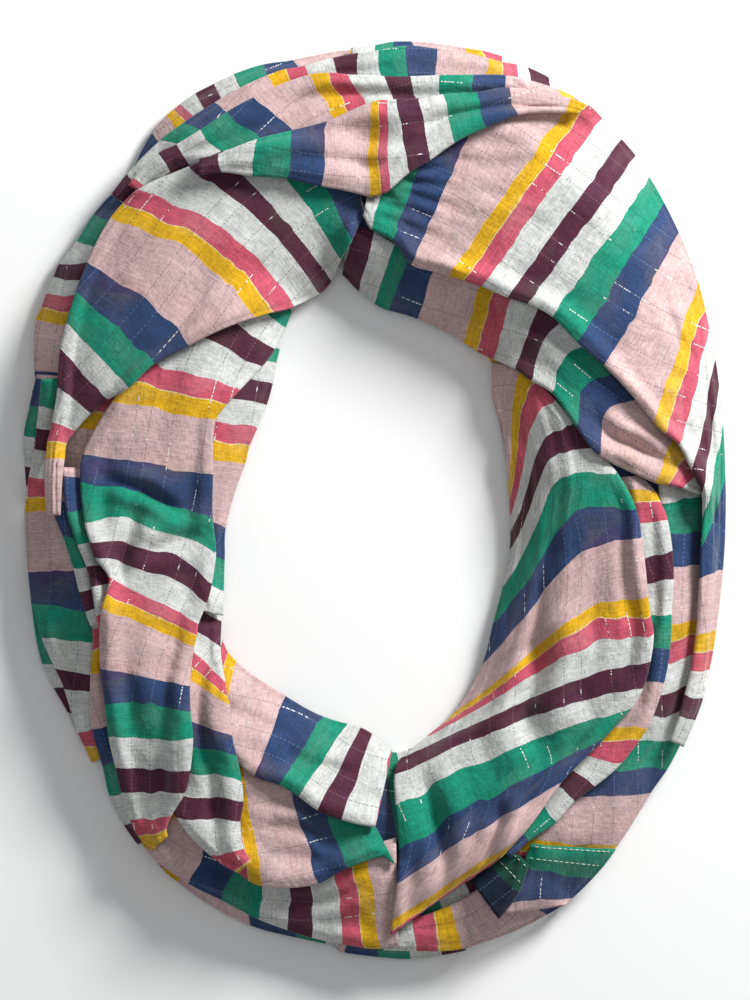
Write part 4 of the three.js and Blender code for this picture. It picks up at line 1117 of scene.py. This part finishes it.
def buildStitchRow():
    tree = bpy.data.node_groups.new("stitchRow", "GeometryNodeTree")
    tree.interface.new_socket("Line", in_out="INPUT", socket_type="NodeSocketGeometry")
    for name in ("Pitch", "Length", "Width", "Thickness", "Jitter"):
        tree.interface.new_socket(name, in_out="INPUT", socket_type="NodeSocketFloat")
    tree.interface.new_socket("Seed", in_out="INPUT", socket_type="NodeSocketInt")
    tree.interface.new_socket("Material", in_out="INPUT", socket_type="NodeSocketMaterial")
    tree.interface.new_socket("Stitches", in_out="OUTPUT", socket_type="NodeSocketGeometry")
    given = addNode(tree, "NodeGroupInput")
    line = addNode(tree, "GeometryNodeMeshToCurve", {"Mesh": (given, "Line")})
    places = addNode(tree, "GeometryNodeResampleCurve", {"Curve": (line, 0), "Length": (given, "Pitch")},
                     mode="LENGTH")
    tangent = addNode(tree, "GeometryNodeInputTangent")
    turned = addNode(tree, "FunctionNodeAlignRotationToVector", {"Vector": (tangent, 0)}, axis="X")
    ball = addNode(tree, "GeometryNodeMeshUVSphere", {"Segments": 8, "Rings": 6, "Radius": 0.5})
    shape = addNode(tree, "ShaderNodeCombineXYZ", {0: (given, "Length"), 1: (given, "Width"),
                                                   2: (given, "Thickness")})
    low = addMath(tree, "SUBTRACT", 1.0, (given, "Jitter"))
    high = addMath(tree, "ADD", 1.0, (given, "Jitter"))
    uneven = addNode(tree, "FunctionNodeRandomValue", {2: low, 3: high, "Seed": (given, "Seed")},
                     data_type="FLOAT")
    size = addNode(tree, "ShaderNodeVectorMath", {0: (shape, 0), 3: (uneven, 1)}, operation="SCALE")
    stitch = addNode(tree, "GeometryNodeInstanceOnPoints", {"Points": (places, 0), "Instance": (ball, 0),
                                                            "Rotation": (turned, 0), "Scale": (size, 0)})
    real = addNode(tree, "GeometryNodeRealizeInstances", {0: (stitch, 0)})
    painted = addNode(tree, "GeometryNodeSetMaterial",
                      {"Geometry": (real, 0), "Material": (given, "Material")})
    addNode(tree, "NodeGroupOutput", {0: (painted, 0)})
    return tree


def sewRow(tree, spec, past, stripeName, top, thread):
    # a line across the stretch on its upper side, then its stitches as plain mesh
    settings = seamStitches
    sections = spec["sections"]
    places = sectionPlaces(sections)
    start = places[[row[0] for row in sections].index(stripeName)]
    row = (start + past) / places[-1] * (len(top) - 1)
    k = min(int(row), len(top) - 2)
    line = top[k] * (1 - (row - k)) + top[k + 1] * (row - k)
    line = line[1:-1].copy()
    line[:, :2] += planToFrame
    line[:, 2] += settings["lift"]
    name = "Stitches" + spec["node"].title().replace("_", "") + str(int(past))
    mesh = bpy.data.meshes.new(name)
    mesh.from_pydata((line * mm).tolist(), [(i, i + 1) for i in range(len(line) - 1)], [])
    piece = bpy.data.objects.new(name, mesh)
    bpy.context.scene.collection.objects.link(piece)
    modifier = piece.modifiers.new("stitches", "NODES")
    modifier.node_group = tree
    values = {key.title(): settings[key] * mm for key in ("pitch", "length", "width", "thickness")}
    values.update({"Jitter": settings["jitter"], "Seed": settings["seed"], "Material": thread})
    for item in tree.interface.items_tree:
        if item.in_out == "INPUT" and item.name in values:
            modifier[item.identifier] = values[item.name]
    evaluated = piece.evaluated_get(bpy.context.evaluated_depsgraph_get())
    made = bpy.data.meshes.new_from_object(evaluated)
    piece.modifiers.clear()
    piece.data = made
    made.name = name
    for polygon in made.polygons:
        polygon.use_smooth = True
    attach(piece, "root")
    return piece


layHiddenLayers(hiddenLayers)
print("hidden layers laid")
tops = {}
for seed, spec in enumerate(stretches):
    piece, top = layStretch(spec, seed + 1)
    tops[spec["node"]] = (spec, top)
    print(piece.name, "top", round(float(top[..., 2].max()), 1), "mm")

threadLook = bpy.data.materials.new("pale cotton sewing thread")
threadLook.use_nodes = True
threadInputs = threadLook.node_tree.nodes["Principled BSDF"].inputs
threadInputs["Base Color"].default_value = linear(seamStitches["colour"])
threadInputs["Roughness"].default_value = 0.8
stitchRow = buildStitchRow()
for node, stripeName, past in seamStitches["rows"]:
    spec, top = tops[node]
    sewRow(stitchRow, spec, past, stripeName, top, threadLook)
print("seam stitched")

# soft studio light: a key from the upper right, a larger and weaker fill overhead, and a dim world
lights = {
    "key": {"at": (0.88, 0.92, 0.74), "size": 0.45, "power": 34.0},
    "fill": {"at": (-0.1, 0.1, 1.6), "size": 1.0, "power": 3.2},
}
for name, light in lights.items():
    data = bpy.data.lights.new(name, "AREA")
    data.size = light["size"]
    data.energy = light["power"]
    lamp = bpy.data.objects.new(name, data)
    lamp.location = light["at"]
    lamp.rotation_euler = (Vector((0, 0, 0)) - Vector(light["at"])).to_track_quat("-Z", "Y").to_euler()
    bpy.context.scene.collection.objects.link(lamp)
world = bpy.data.worlds.new("studio")
world.use_nodes = True
world.node_tree.nodes["Background"].inputs["Color"].default_value = linear("#F2F4F8")
world.node_tree.nodes["Background"].inputs["Strength"].default_value = 0.3
bpy.context.scene.world = world
bpy.context.scene.view_settings.view_transform = "Standard"
print("lights and world set")
